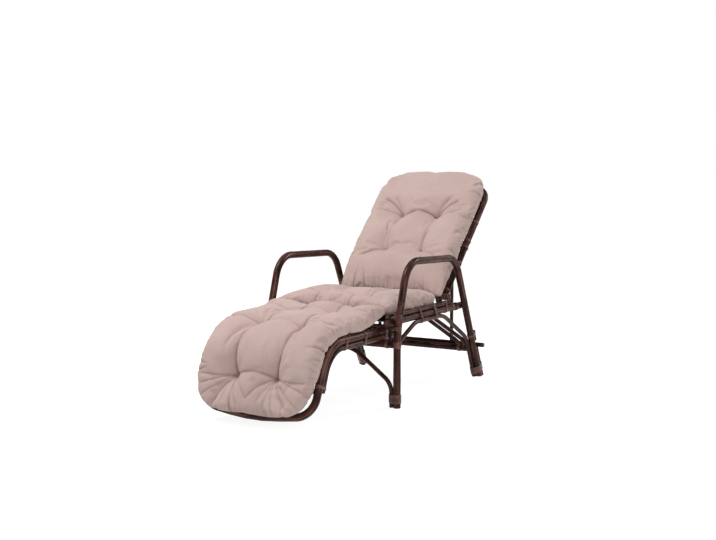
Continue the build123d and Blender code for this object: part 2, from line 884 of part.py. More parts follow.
# All pieces, on each side where there are two
pieces = {
    "front_stretcher": front_stretcher(),
    "rear_stretcher": rear_stretcher(),
    "front_arch": front_arch(),
    "rear_arch_outer": rear_arch(0),
    "rear_arch_inner": rear_arch(brace_dia + rear_arch_gap),
    "rear_bar": rear_bar(),
    "seat_bars": seat_bars(),
    "seat_slats": seat_slats(),
    "hinge_bar": hinge_bar(),
    "hinge_saddles": hinge_saddles(),
    "frame_bands": frame_bands(),
    "seat_pad": seat_pad(),
    "footrest_loop": footrest_loop(),
    "footrest_bars": footrest_bars(),
    "footrest_canes": footrest_canes(),
    "footrest_bands": footrest_bands(),
    "foot_pad": foot_pad(),
    "back_loop": back_loop(),
    "back_sleeves": back_sleeves(),
    "back_bars": back_bars(),
    "back_canes": back_canes(),
    "back_bands": back_bands(),
    "stay_bar": stay_bar(),
    "back_pad": back_pad(),
    "stay_poles": stay_poles(),
    "stay_sleeves": stay_sleeves(),
    "stay_foot_bar": foot_bar(),
}
for name, side in (("left", 1), ("right", -1)):
    pieces["arm_pole_" + name] = arm_pole(side)
    pieces["heel_rest_" + name] = heel_rest(side)
    pieces["side_arch_" + name] = side_arch(side)
    pieces["seat_rail_" + name] = seat_rail(side)
    pieces["seat_cap_" + name] = seat_cap(side)
    pieces["rail_tail_" + name] = rail_tail(side)
    pieces["guide_post_" + name] = guide_post(side)
    pieces["footrest_doubler_" + name] = footrest_doubler(side)

# The origin goes under the middle of the whole lounger
boxes = [shape.bounding_box() for shape in pieces.values()]
front_y = min(box.min.Y for box in boxes)
rear_y = max(box.max.Y for box in boxes)
shift = -(front_y + rear_y) / 2
print("moved along Y by", round(shift, 3))
os.makedirs("parts", exist_ok=True)
for name, shape in pieces.items():
    export_step(Pos(0, shift, 0) * shape, "parts/" + name + ".step")
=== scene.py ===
from math import atan2, cos, pi, radians, sin, sqrt, tan

import bmesh
import bpy
import numpy as np
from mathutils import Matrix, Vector


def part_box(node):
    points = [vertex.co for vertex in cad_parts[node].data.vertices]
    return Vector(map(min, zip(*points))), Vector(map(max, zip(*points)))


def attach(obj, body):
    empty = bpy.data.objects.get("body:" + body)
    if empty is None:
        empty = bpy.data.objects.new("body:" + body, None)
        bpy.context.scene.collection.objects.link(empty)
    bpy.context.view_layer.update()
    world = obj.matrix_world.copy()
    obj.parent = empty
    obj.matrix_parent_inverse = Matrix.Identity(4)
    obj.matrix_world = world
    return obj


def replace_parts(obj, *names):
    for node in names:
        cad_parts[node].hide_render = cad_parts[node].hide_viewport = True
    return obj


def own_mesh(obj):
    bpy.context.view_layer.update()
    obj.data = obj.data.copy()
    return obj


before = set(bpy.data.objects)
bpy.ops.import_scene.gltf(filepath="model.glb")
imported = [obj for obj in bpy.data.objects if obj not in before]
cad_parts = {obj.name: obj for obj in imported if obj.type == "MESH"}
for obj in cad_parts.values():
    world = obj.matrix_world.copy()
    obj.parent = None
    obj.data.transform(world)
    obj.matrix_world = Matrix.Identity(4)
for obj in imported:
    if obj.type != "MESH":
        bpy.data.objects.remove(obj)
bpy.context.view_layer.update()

# Rattan sun lounger in metres: +X is the sitter's left, -Y the foot end, +Z up.
# Lengths along Y are given from the front corner of the arms, as in the part's source.
stretcher_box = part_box("front_stretcher")
front_leg_y = -0.085
shift = (stretcher_box[0].y + stretcher_box[1].y) / 2 - front_leg_y
ACROSS, AHEAD, UP = np.eye(3)
MIRROR = np.array([-1.0, 1.0, 1.0])
SIDES = (("left", 1), ("right", -1))

# Pole radii
pole_r = 0.015
cap_r = 0.010
doubler_r = 0.011
brace_r = 0.009
bar_r = 0.010
heel_r = 0.010
stay_r = 0.008
rear_bar_r = 0.011
slat_r = 0.0058
cane_r = 0.0039
post_r = 0.006
tie = 0.0003

# Places across
arm_x = 0.305
rail_x = arm_x - 2 * pole_r - tie
arch_x = (arm_x + rail_x) / 2
footrest_x = 0.245
back_x = 0.262
stay_x = 0.186

# Heights
seat_rail_z = 0.3365
cap_z = seat_rail_z + pole_r + cap_r + tie
slat_z = seat_rail_z + pole_r + 0.006 + tie
footrest_z = seat_rail_z - 2 * pole_r - 0.00195
doubler_drop = pole_r + doubler_r + tie
doubler_z = footrest_z - doubler_drop
stretcher_z = doubler_z - doubler_r - 0.00195 - pole_r
hinge_y = 0.420
hinge_z = cap_z + cap_r + 0.015 + tie

# Rear legs
arm_rear_y, arm_rear_z = 0.440, 0.556
rear_foot_y = 0.699
leg_slope = (rear_foot_y - arm_rear_y) / arm_rear_z
leg_slant = sqrt(1 + leg_slope ** 2)
rear_stretcher_z = 0.136
rear_bar_y = 0.487
foot_bar_z = 0.150


def rear_leg_y(z):
    """Where the rear leg's centre line is at a height."""
    return rear_foot_y - leg_slope * z


rear_stretcher_y = rear_leg_y(rear_stretcher_z) - 0.010
foot_bar_y = rear_leg_y(foot_bar_z) + (pole_r + bar_r + tie) * leg_slant
arch_tie = sqrt((pole_r + brace_r + tie) ** 2 - (arm_x - arch_x) ** 2)
rail_tie = sqrt((pole_r + brace_r + tie) ** 2 - (arch_x - rail_x) ** 2)

# Back, leaning at its first notch
lean = radians(44)
back_length = 0.662
ALONG_BACK = np.array([0.0, cos(lean), sin(lean)])
OUT_OF_BACK = np.array([0.0, -sin(lean), cos(lean)])


def on_back(x, along, out):
    """A point on the back from its place across, along the poles and out of their front."""
    hinge = np.array([0.0, hinge_y, hinge_z])
    return hinge + x * ACROSS + along * ALONG_BACK + out * OUT_OF_BACK


stay_out = -(pole_r + bar_r + tie)
stay_along = (foot_bar_y - hinge_y + stay_out * sin(lean)) / cos(lean)
stay_hinge = on_back(0, stay_along, stay_out)

# Footrest: sliding sides, a bend at the knee, and the calf's slope
footrest_rear_y = 0.020
footrest_knee_y = -0.500
knee_radius = 0.150
calf_rise = 0.41
calf_slant = sqrt(1 + calf_rise ** 2)
calf_turn = atan2(1, calf_rise)
footrest_flat = footrest_rear_y - footrest_knee_y - knee_radius * tan(calf_turn / 2)
footrest_bend = knee_radius * calf_turn


def calf_y(z):
    """Where the footrest pole's centre line is at a height on the calf."""
    return footrest_knee_y - (footrest_z - z) * calf_rise


def on_footrest(far, out):
    """Places (y, z) and turns at distances along the footrest's poles and out of their top."""
    far = np.asarray(far, float)
    turn = np.clip(far - footrest_flat, 0, footrest_bend) / knee_radius
    down = np.maximum(0, far - footrest_flat - footrest_bend)
    radius = knee_radius + out
    y = footrest_rear_y - np.minimum(far, footrest_flat) - radius * np.sin(turn) - down * np.cos(turn)
    z = footrest_z - knee_radius + radius * np.cos(turn) - down * np.sin(turn)
    return y, z, turn


# Shaders
# A pole's map runs along it in metres; on its cut ends it goes from CUT_END at the middle to CUT_END + 1.
CUT_END = 60.0
PITH = (0.150, 0.095, 0.078, 1)
# Painted shade: the dark brown that the pads' creases, gathers and tuft dimples are mixed toward.
PAINTED_FOLD_SHADE = (0.215, 0.112, 0.092, 1)
THREAD = 0.0013


class Maths:
    """A number socket whose operators add Math nodes."""

    def __init__(self, make, socket):
        self.make, self.socket = make, socket

    def op(self, kind, *others, flipped=False):
        values = [self.socket, *others]
        inputs = dict(enumerate(reversed(values) if flipped else values))
        return Maths(self.make, self.make.node("ShaderNodeMath", {"operation": kind}, inputs).outputs[0])

    def __add__(self, other):
        return self.op("ADD", other)

    def __sub__(self, other):
        return self.op("SUBTRACT", other)

    def __rsub__(self, other):
        return self.op("SUBTRACT", other, flipped=True)

    def __mul__(self, other):
        return self.op("MULTIPLY", other)

    __radd__, __rmul__ = __add__, __mul__


class Nodes:
    """A node tree under construction: node() adds any node from its type, settings and inputs."""

    def __init__(self, tree):
        self.tree = tree

    def node(self, kind, settings=None, inputs=None):
        made = self.tree.nodes.new(kind)
        for key, value in (settings or {}).items():
            setattr(made, key, value)
        for key, value in (inputs or {}).items():
            value = value.socket if isinstance(value, Maths) else value
            if isinstance(value, bpy.types.NodeSocket):
                self.tree.links.new(value, made.inputs[key])
            else:
                made.inputs[key].default_value = value
        return made


class Finish(Nodes):
    """A material under construction, with the patterns that the looks are made of."""

    def __init__(self, name, **constants):
        self.material = bpy.data.materials.new(name)
        self.material.use_nodes = True
        super().__init__(self.material.node_tree)
        self.shader = self.tree.nodes["Principled BSDF"]
        for socket, value in constants.items():
            self.shader.inputs[socket.replace("_", " ")].default_value = value

    def number(self, socket):
        return Maths(self, socket)

    def spot(self):
        return self.node("ShaderNodeTexCoord").outputs["Object"]

    def map(self, name):
        return self.node("ShaderNodeUVMap", {"uv_map": name}).outputs[0]

    def parts_of(self, vector):
        split = self.node("ShaderNodeSeparateXYZ", {}, {0: vector})
        return self.number(split.outputs[0]), self.number(split.outputs[1])

    def attribute(self, name):
        return self.number(self.node("ShaderNodeAttribute", {"attribute_name": name}).outputs["Fac"])

    def noise(self, vector, scale, detail=2.0, rough=0.5):
        inputs = {"Vector": vector, "Scale": scale, "Detail": detail, "Roughness": rough}
        return self.number(self.node("ShaderNodeTexNoise", {}, inputs).outputs["Fac"])

    def stretched(self, vector, scale):
        return self.node("ShaderNodeMapping", {}, {"Vector": vector, "Scale": scale}).outputs[0]

    def mix(self, share, one, two):
        return self.node("ShaderNodeMix", {"data_type": "RGBA"}, {0: share, 6: one, 7: two}).outputs[2]

    def range(self, value, low, high, to_low=0.0, to_high=1.0):
        made = self.node("ShaderNodeMapRange", {}, {0: value, 1: low, 2: high, 3: to_low, 4: to_high})
        return self.number(made.outputs[0])

    def bump(self, height, depth, strength):
        made = self.node("ShaderNodeBump", {}, {"Height": height, "Distance": depth, "Strength": strength})
        self.feed(Normal=made.outputs[0])

    def feed(self, **links):
        for socket, value in links.items():
            value = value.socket if isinstance(value, Maths) else value
            self.tree.links.new(value, self.shader.inputs[socket.replace("_", " ")])


def round_pole(finish):
    """A vector round and along a pole, from its own map: angle share and metres along."""
    share, far = finish.parts_of(finish.map("along"))
    angle = share * (2 * pi)
    inputs = {0: angle.op("COSINE") * pole_r, 1: angle.op("SINE") * pole_r, 2: far}
    return finish.node("ShaderNodeCombineXYZ", {}, inputs).outputs[0], far


def rattan(name, dark, mid, light, coat=0.22):
    """Stained cane: long fibres, mottled stain, pale streaks that are partly rubbed wear and partly painted
    highlight, and a clear coat.
    """
    f = Finish(name, Roughness=0.42, Coat_Weight=coat, Coat_Roughness=0.2, Specular_IOR_Level=0.05)
    spot, far = round_pole(f)
    fibre = f.noise(f.stretched(spot, (900, 900, 12)), 1.0, 3.0, 0.6)
    streak = f.noise(f.stretched(spot, (260, 260, 5)), 1.0, 2.0, 0.55)
    cloud = f.noise(f.stretched(spot, (30, 30, 14)), 1.0, 3.0, 0.6)
    stain = f.mix(f.range(cloud, 0.35, 0.68), dark, mid)
    # Pale streaks along the pole: partly rubbed wear, partly painted highlight in the light tone.
    rubbed_and_highlight = f.range(streak, 0.53, 0.68) * f.range(cloud, 0.34, 0.58)
    skin = f.mix(rubbed_and_highlight * 0.85, stain, light)
    pores = f.noise(f.spot(), 900.0, 2.0, 0.6)
    rim = f.range(far, CUT_END + 0.55, CUT_END + 1.0)
    grain = f.mix(rim * 0.8 + f.range(pores, 0.55, 0.7) * 0.6, PITH, dark)
    f.feed(Base_Color=f.mix(f.range(far, CUT_END - 1.0, CUT_END), skin, grain))
    f.feed(Roughness=f.range(fibre, 0.3, 0.75, 0.32, 0.55))
    f.bump(fibre * 0.6 + streak * 0.4, 0.0006, 0.5)
    return f.material


def peel(name, dark, light):
    """Split cane peel wound round a joint: flat strands whose mottled light tone is partly the skin's own paleness
    and partly painted highlight.
    """
    f = Finish(name, Roughness=0.42, Coat_Weight=0.12, Coat_Roughness=0.3, Specular_IOR_Level=0.3)
    across, far = f.parts_of(f.map("along"))
    spot = f.node("ShaderNodeCombineXYZ", {}, {0: across * 9.0, 1: far * 900.0, 2: 0.0}).outputs[0]
    fibre = f.noise(spot, 1.0, 2.0)
    cloud = f.noise(f.spot(), 55.0, 2.0)
    # The mottled light tone is partly the peel's paler skin and partly painted highlight.
    f.feed(Base_Color=f.mix(f.range(cloud, 0.38, 0.66) * f.range(fibre, 0.3, 0.7, 0.5, 1.0), dark, light))
    f.feed(Roughness=f.range(fibre, 0.3, 0.7, 0.32, 0.5))
    f.bump(fibre, 0.0003, 0.4)
    return f.material


def woven(name, shade, colour, pale):
    """Plain weave cotton: crossing threads, slubs, a soft mottling from washing, and painted shade in the pads'
    creases.
    """
    sheen = {"Sheen_Weight": 0.25, "Sheen_Roughness": 0.5, "Sheen_Tint": (1.0, 0.93, 0.9, 1)}
    f = Finish(name, Roughness=0.88, Specular_IOR_Level=0.25, **sheen)
    cloth = f.map("cloth")
    warp, weft = ((place * (2 * pi / THREAD)).op("SINE") for place in f.parts_of(cloth))
    threads = warp * weft
    slub_a = f.noise(f.stretched(cloth, (700, 24, 1)), 1.0, 2.0)
    slub_b = f.noise(f.stretched(cloth, (24, 700, 1)), 1.0, 2.0)
    cloud = f.noise(f.spot(), 7.0, 4.0, 0.6)
    base = f.mix(f.range(cloud, 0.3, 0.7), shade, colour)
    slubs = f.range(slub_a + slub_b, 0.85, 1.25)
    # Painted shade: the base colour is darkened toward a brown by the per-point crease shade attribute.
    f.feed(Base_Color=f.mix(f.attribute("painted_shade") * 0.80, f.mix(slubs * 0.35, base, pale), PAINTED_FOLD_SHADE))
    f.feed(Roughness=f.range(slub_a, 0.3, 0.7, 0.82, 0.94))
    groove = f.range(f.attribute("from_seam").op("ABSOLUTE"), 0.0006, 0.0026, 1.0, 0.0)
    crumple = f.noise(f.spot(), 60.0, 4.0, 0.62)
    f.bump(threads * 0.12 + slubs * 0.25 + crumple * 1.6 - groove * 1.5, 0.0009, 0.55)
    return f.material


def stained(*colours):
    """Opaque colours from their red, green and blue."""
    return [(*colour, 1) for colour in colours]


# The light pole tone is partly rubbed wear and partly painted highlight.
pole_tones = stained((0.015, 0.0046, 0.0037), (0.088, 0.0265, 0.0185), (0.250, 0.125, 0.102))
cane_tones = stained((0.022, 0.008, 0.006), (0.050, 0.019, 0.014), (0.090, 0.042, 0.032))
cloth_tones = stained((0.472, 0.336, 0.306), (0.542, 0.403, 0.369), (0.616, 0.484, 0.446))
thread_tones = stained((0.33, 0.225, 0.195), (0.40, 0.285, 0.25), (0.46, 0.35, 0.31))
pole_finish = rattan("stained_rattan", *pole_tones)
cane_finish = rattan("stained_cane", *cane_tones, coat=0.10)
# The peel's light tone is partly its paler skin and partly painted highlight.
peel_finish = peel("stained_peel", *stained((0.070, 0.022, 0.016), (0.250, 0.112, 0.090)))
cloth_finish = woven("dusty_pink_cotton", *cloth_tones)
thread_finish = woven("dusty_pink_thread", *thread_tones)


# Meshes
def show(name, verts, faces, uv, finish, body, kind, layer="along", weld=True):
    """A mesh object from arrays of points, faces and one map point per face corner."""
    mesh = bpy.data.meshes.new(name)
    mesh.from_pydata((verts + shift * AHEAD).tolist(), [], faces.tolist(), shade_flat=False)
    mesh.uv_layers.new(name=layer)
    mesh.uv_layers[layer].data.foreach_set("uv", uv.astype(np.float32).ravel())
    mesh.materials.append(finish)
    mesh.validate()
    if weld:
        welded(mesh)
    piece = put(name, mesh)
    if body:
        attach(piece, body)
    return piece


def put(name, data):
    """A new object in the scene."""
    made = bpy.data.objects.new(name, data)
    bpy.context.scene.collection.objects.link(made)
    return made


def welded(mesh):
    """Points that lie in one place, as at a pole's dished ends, become one point."""
    edit = bmesh.new()
    edit.from_mesh(mesh)
    bmesh.ops.remove_doubles(edit, verts=edit.verts, dist=WELD)
    edit.to_mesh(mesh)
    edit.free()


def grid_faces(rows, columns, loop_rows=False):
    """Faces between neighbouring rows of a grid whose columns close into a ring."""
    i = np.arange(rows if loop_rows else rows - 1)[:, None]
    j = np.arange(columns)
    here, up, over = i * columns, (i + 1) % rows * columns, (j + 1) % columns
    return np.stack([here + j, here + over, up + over, up + j], -1).reshape(-1, 4)


def grid_map(across, along):
    """Map points for grid_faces: across has one value more than the columns."""
    a, b, low, high = across[:-1], across[1:], along[:-1, None], along[1:, None]
    corners = [np.stack(np.broadcast_arrays(*c), -1) for c in ((a, low), (b, low), (b, high), (a, high))]
    return np.stack(corners, 2).reshape(-1, 2)


def quads(n):
    """Faces between neighbouring points of a grid of point numbers."""
    return np.stack([n[:-1, :-1], n[:-1, 1:], n[1:, 1:], n[1:, :-1]], -1).reshape(-1, 4)


def unit(vectors):
    """A vector, or rows of them, at length 1."""
    return vectors / np.linalg.norm(vectors, axis=-1, keepdims=True)


def lengths(path):
    """Distances along a path at its points."""
    return np.concatenate([[0], np.cumsum(np.linalg.norm(np.diff(path, axis=0), axis=1))])


def read_off(where, s, rows):
    """Rows that are given at the distances s, read off at other distances."""
    return np.stack([np.interp(where, s, column) for column in rows.T], 1)


def route(points, radii, step=0.012):
    """A path of straight runs and tangent arcs through corner points.

    At a corner of turn t and radius r the arc starts r tan(t/2) before it, and runs round a
    centre that lies r / cos(t/2) from the corner on the inner side.
    """
    points = [np.array(p, float) for p in points]
    pieces, here = [], points[0]
    for before, corner, after, r in zip(points, points[1:], points[2:], radii):
        come, go = unit(corner - before), unit(after - corner)
        turn = np.arccos(np.clip(come @ go, -1, 1))
        reach = r * tan(turn / 2)
        start = corner - come * reach
        pieces.append(straight(here, start, step))
        centre = corner + unit(go - come) * r / cos(turn / 2)
        side = (start - centre) / r
        angles = np.linspace(0, turn, max(4, int(turn / radians(3.5))))[:-1, None]
        pieces.append(centre + r * (side * np.cos(angles) + come * np.sin(angles)))
        here = corner + go * reach
    pieces.append(straight(here, points[-1], step))
    return np.vstack(pieces + [points[-1][None]])


def straight(start, end, step):
    """Points along a straight run, without its last."""
    count = max(1, int(np.linalg.norm(end - start) / step))
    return start + (end - start) * (np.arange(count) / count)[:, None]


def frames(path):
    """Tangents and two normals along a path, turned as little as possible from point to point."""
    tangent = unit(np.gradient(path, axis=0))
    guess = ACROSS if abs(tangent[0] @ ACROSS) < 0.8 else UP
    normal = guess - tangent[0] * (guess @ tangent[0])
    normals = []
    for t in tangent:
        normal = unit(normal - t * (normal @ t))
        normals.append(normal)
    normals = np.array(normals)
    return tangent, normals, np.cross(tangent, normals)


DISH = 0.0006
WELD = 0.000001
KNOTS = np.array([-0.012, -0.007, -0.004, -0.002, -0.0008, 0.0, 0.0008, 0.002, 0.004, 0.007, 0.012])


def tube(path, radius, seed, sides=20, floor=False, knots=True):
    """Points, faces and map of a cane pole along a path.

    The radius at a distance s is r (1 + 0.03 exp(-(d / 7 mm)^2) - 0.045 exp(-(d / 1.1 mm)^2)), where
    d is the distance to the nearest growth ring, less a slow waviness. Each end is dished to a point,
    and its map runs from CUT_END at the middle to CUT_END + 1 at the rim. On the floor, what is
    below it is drawn up to it along the leg.
    """
    rng = np.random.default_rng(seed)
    s = lengths(path)
    total = s[-1]
    rings = np.arange(0.10 + 0.12 * rng.random(), total, 0.27) if knots else np.array([])
    rings = rings + rng.uniform(-0.03, 0.03, len(rings))
    rings = rings[(rings > 0.02) & (rings < total - 0.02)]
    ends = np.array([0.0008, 0.0025, 0.006])
    stations = np.unique(np.concatenate([s, (rings[:, None] + KNOTS).ravel(), ends, total - ends]))
    stations = stations[(stations >= 0) & (stations <= total)]
    tangent, *normals = frames(path)
    centre, one, two = (read_off(stations, s, rows) for rows in (path, *normals))
    share = np.ones(len(stations))
    if len(rings):
        gap = np.abs(stations[:, None] - rings[None]).min(1)
        share += 0.030 * np.exp(-(gap / 0.007) ** 2) - 0.045 * np.exp(-(gap / 0.0011) ** 2)
    share -= 0.012 * (0.5 + 0.5 * np.sin(stations * 31 + seed))
    edge = np.minimum(stations, total - stations)
    share *= 1 - 0.10 * np.exp(-(edge / 0.0009) ** 2)
    angle = np.arange(sides) / sides * 2 * pi
    out = one[:, None] * np.cos(angle)[None, :, None] + two[:, None] * np.sin(angle)[None, :, None]
    skin = centre[:, None] + out * (radius * share)[:, None, None]
    caps = [0.62, 0.0]
    first = [centre[0] + (skin[0] - centre[0]) * c + tangent[0] * DISH * (1 - c) for c in reversed(caps)]
    last = [centre[-1] + (skin[-1] - centre[-1]) * c - tangent[-1] * DISH * (1 - c) for c in caps]
    rows = np.concatenate([np.array(first), skin, np.array(last)])
    if floor:
        below = np.minimum(rows[..., 2], 0)
        rows[..., 1] += np.where(rows[..., 1] > 0.2, leg_slope, 0.0) * below
        rows[..., 2] -= below
    across = np.linspace(0, 1, sides + 1)
    cap = CUT_END + np.array([1.0, 0.62, 0.0])
    uv = np.vstack([grid_map(across, cap[::-1]), grid_map(across, stations + seed * 0.37), grid_map(across, cap)])
    return rows.reshape(-1, 3), grid_faces(len(rows), sides), uv


def joined(parts):
    """One set of points, faces and map from several."""
    verts, faces, uvs = zip(*parts)
    first = np.cumsum([0] + [len(v) for v in verts])
    return np.vstack(verts), np.vstack([f + n for f, n in zip(faces, first)]), np.vstack(uvs)


def poles(name, paths, radius, body, node, finish=pole_finish, **extra):
    """One piece of several cane poles, in place of a CAD node."""
    seed = sum(map(ord, name)) % 97
    parts = [tube(path, radius, seed + 7 * i, **extra) for i, path in enumerate(paths)]
    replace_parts(show(name, *joined(parts), finish, body, "rattan"), node)


def sided(side, name, node, paths, radius, body="frame", **extra):
    """A piece of poles that are given on the left, put on one side in place of its CAD node."""
    word, sign = side
    poles(name + "_" + word, [path * [sign, 1, 1] for path in paths], radius, body, node + "_" + word, **extra)


def pair(*piece, **extra):
    """The same piece on the left and on the right."""
    for side in SIDES:
        sided(side, *piece, **extra)


def run(start, end, step=0.012):
    """The path of a straight pole."""
    return route([start, end], [], step)


def over_middle(half, middle=()):
    """Corners on one side, those at the middle, and the mirror image of the first."""
    return [*half, *middle, *(np.array(p) * MIRROR for p in reversed(half))]


def level(half, y, z):
    """The path of a straight pole across the lounger."""
    return run((-half, y, z), (half, y, z))


# Side frames
toe = -0.020
leg_route = [
    (arm_x, front_leg_y, 0),
    (arm_x, front_leg_y, 0.300),
    (arm_x, -0.001, 0.571),
    (arm_x, arm_rear_y, arm_rear_z),
    (arm_x, rear_leg_y(toe), toe),
]
pair("arm_cane", "arm_pole", [route(leg_route, [0.5, 0.112, 0.115])], pole_r, floor=True, sides=28)

arch_top_z = seat_rail_z - rail_tie
arch_front_y = front_leg_y + arch_tie
arch_route = [
    (arch_x, arch_front_y, 0),
    (arch_x, arch_front_y, 0.245),
    (arch_x, 0.100, arch_top_z),
    (arch_x, 0.353, arch_top_z),
    (arch_x, rear_leg_y(0.190) - arch_tie * leg_slant, 0.190),
    (arch_x, rear_leg_y(toe) - arch_tie * leg_slant, toe),
]
pair("side_brace", "side_arch", [route(arch_route, [0.075, 0.12, 0.18, 0.12])], brace_r, floor=True)


def heel_point(z):
    """A point on the pole behind the rear leg."""
    return (arm_x, rear_leg_y(z) + (pole_r + heel_r + tie) * leg_slant, z)


notch_floor = foot_bar_z - bar_r - 0.0006
notch_roof = foot_bar_z + bar_r + 0.0118
heel_paths = [run(heel_point(toe), heel_point(notch_floor)), run(heel_point(notch_roof), heel_point(0.212))]
pair("heel_cane", "heel_rest", heel_paths, heel_r, floor=True, knots=False)

stretch = arm_x - pole_r + 0.002
poles("front_stretcher_cane", [level(stretch, front_leg_y, stretcher_z)], pole_r, "frame", "front_stretcher")
poles("rear_stretcher_cane", [level(stretch, rear_stretcher_y, rear_stretcher_z)], pole_r, "frame", "rear_stretcher")

foot_x = arm_x - pole_r - brace_r - tie
front_top_z = stretcher_z - pole_r - brace_r - tie
half_arch = [(foot_x, front_leg_y, 0), (foot_x, front_leg_y, 0.094), (0.105, front_leg_y, front_top_z)]
arch = route(over_middle(half_arch), [0.075, 0.15, 0.15, 0.075])
poles("front_brace", [arch], brace_r, "frame", "front_arch", floor=True)

rear_top_z = seat_rail_z - rear_bar_r - brace_r - tie
rear_slope = (rear_stretcher_y - rear_bar_y) / (rear_top_z - rear_stretcher_z)
for name, inset in (("outer", 0.0), ("inner", 0.026)):
    x = arch_x - 2 * brace_r - tie - inset
    flat = [(x, rear_stretcher_z + pole_r * 0.8), (x, 0.178 - inset / 2), (0.122 - inset / 2, rear_top_z - inset)]
    half = [(px, rear_bar_y + (rear_top_z - pz) * rear_slope, pz) for px, pz in flat]
    path = route(over_middle(half), [0.055, 0.075, 0.075, 0.055])
    poles("rear_brace_" + name, [path], brace_r, "frame", "rear_arch_" + name)

# Seat frame
rail_end = rear_bar_y - rear_bar_r * 0.9
tail_start = rear_bar_y + rear_bar_r * 0.9
rail = run((rail_x, -0.118, seat_rail_z), (rail_x, rail_end, seat_rail_z))
cap = run((rail_x, -0.112, cap_z), (rail_x, 0.446, cap_z))
tail = run((rail_x, tail_start, seat_rail_z), (rail_x, rear_bar_y + 0.088, seat_rail_z))
post = run((rail_x, front_leg_y, stretcher_z + pole_r), (rail_x, front_leg_y, seat_rail_z - pole_r))
for side in SIDES:
    sided(side, "seat_rail_cane", "seat_rail", [rail], pole_r)
    sided(side, "seat_cap_cane", "seat_cap", [cap], cap_r)
    sided(side, "rail_tail_cane", "rail_tail", [tail], pole_r, knots=False)
    sided(side, "guide_post_cane", "guide_post", [post], post_r, knots=False)
poles("rear_bar_cane", [level(rail_x + pole_r + 0.005, rear_bar_y, seat_rail_z)], rear_bar_r, "frame", "rear_bar")
seat_bar_half = rail_x - pole_r + 0.001
seat_bar_ys = (0.012, 0.192, 0.372)
seat_bars = [level(seat_bar_half, y, seat_rail_z) for y in seat_bar_ys]
poles("seat_bar_canes", seat_bars, pole_r, "frame", "seat_bars", sides=16)
slat_xs = np.linspace(-1, 1, 11) * (rail_x - cap_r - 0.040)
slats = [run((x, -0.010, slat_z), (x, 0.394, slat_z), 0.03) for x in slat_xs]
poles("seat_slat_canes", slats, slat_r, "frame", "seat_slats", cane_finish, sides=12)
pin_r = bar_r - 0.00004
poles("hinge_bar_cane", [level(rail_x + 0.018, hinge_y, hinge_z)], pin_r, "frame", "hinge_bar", knots=False)

# Footrest
near = [
    (footrest_x, footrest_rear_y, footrest_z),
    (footrest_x, footrest_knee_y, footrest_z),
    (footrest_x, calf_y(0.058), 0.058),
]
loop = route(over_middle(near, [(0, calf_y(0.030), 0.030)]), [knee_radius, 0.08, 0.9, 0.08, knee_radius])
poles("footrest_cane", [loop], pole_r, "footrest", "footrest_loop", sides=28)
behind = doubler_drop * calf_slant
doubler = [
    (footrest_x, footrest_rear_y, doubler_z),
    (footrest_x, calf_y(doubler_z) + behind, doubler_z),
    (footrest_x, calf_y(0.134) + behind, 0.134),
]
pair("doubler_cane", "footrest_doubler", [route(doubler, [knee_radius - doubler_drop])], doubler_r, "footrest")


def rung(half, far, out):
    """A pole across the footrest."""
    y, z, turn = on_footrest(far, out)
    return run((-half, y, z), (half, y, z), 0.03)


def cane_reach(side_x):
    """Half length of a cane let in near the top of two side poles."""
    return side_x - sqrt(pole_r ** 2 - (pole_r - 2 * cane_r) ** 2) + 0.001


def between(start, end, count):
    """Places that divide a run evenly."""
    return [start + (end - start) * (i + 1) / (count + 1) for i in range(count)]


bar_fars = first_far, knee_far, calf_far = 0.026, 0.425, 0.670
rest_far = footrest_rear_y - front_leg_y
rung_half = footrest_x - pole_r + 0.001
poles("footrest_bar_canes", [rung(rung_half, far, 0) for far in bar_fars], bar_r, "footrest", "footrest_bars")
cane_fars = between(first_far, rest_far, 2) + between(rest_far, knee_far, 8) + between(knee_far, calf_far, 6)
small = [rung(cane_reach(footrest_x), far, pole_r - cane_r) for far in cane_fars]
poles("footrest_rungs", small, cane_r, "footrest", "footrest_canes", cane_finish, sides=10)

# Back and stay
near = [on_back(back_x, 0.0158, 0), on_back(back_x, back_length, 0)]
loop = route(over_middle(near, [on_back(0, back_length + 0.008, 0)]), [0.092, 1.4, 0.092])
poles("back_cane", [loop], pole_r, "backrest", "back_loop", sides=28)
back_alongs = low_along, mid_along, top_along = 0.070, 0.314, 0.560


def back_rung(half, along, out):
    """A pole across the back."""
    return run(on_back(-half, along, out), on_back(half, along, out), 0.03)


back_half = back_x - pole_r + 0.001
poles("back_bar_canes", [back_rung(back_half, a, 0) for a in back_alongs], bar_r, "backrest", "back_bars")
cane_alongs = between(low_along, mid_along, 6) + between(mid_along, top_along, 6)
small = [back_rung(cane_reach(back_x), a, pole_r - cane_r) for a in cane_alongs]
poles("back_rungs", small, cane_r, "backrest", "back_canes", cane_finish, sides=10)
poles("stay_bar_cane", [back_rung(back_x, stay_along, stay_out)], pin_r, "backrest", "stay_bar", knots=False)
upright = run((stay_x, foot_bar_y, foot_bar_z + bar_r * 0.9), (stay_x, stay_hinge[1], stay_hinge[2] - bar_r - 0.004))
poles("stay_canes", [upright, upright * MIRROR], stay_r, "back_stay", "stay_poles")
poles("foot_bar_cane", [level(arm_x + 0.041, foot_bar_y, foot_bar_z)], bar_r, "back_stay", "stay_foot_bar")


# Wound bindings
def hull(discs, count):
    """Outline pulled tight round discs (x, y, r): for each direction n, the point c + r n of the
    disc that reaches furthest that way, spread evenly along its length. Returns points and normals."""
    discs = np.array(discs, float)
    angle = np.linspace(0, 2 * pi, 721)
    n = np.stack([np.cos(angle), np.sin(angle)], 1)
    best = np.argmax(n @ discs[:, :2].T + discs[:, 2], axis=1)
    points = discs[best, :2] + discs[best, 2:] * n
    s = lengths(points) + np.arange(len(points)) * 1e-9
    even = np.linspace(0, s[-1], count + 1)[:-1]
    return read_off(even, s, points), unit(read_off(even, s, n)), s[-1]


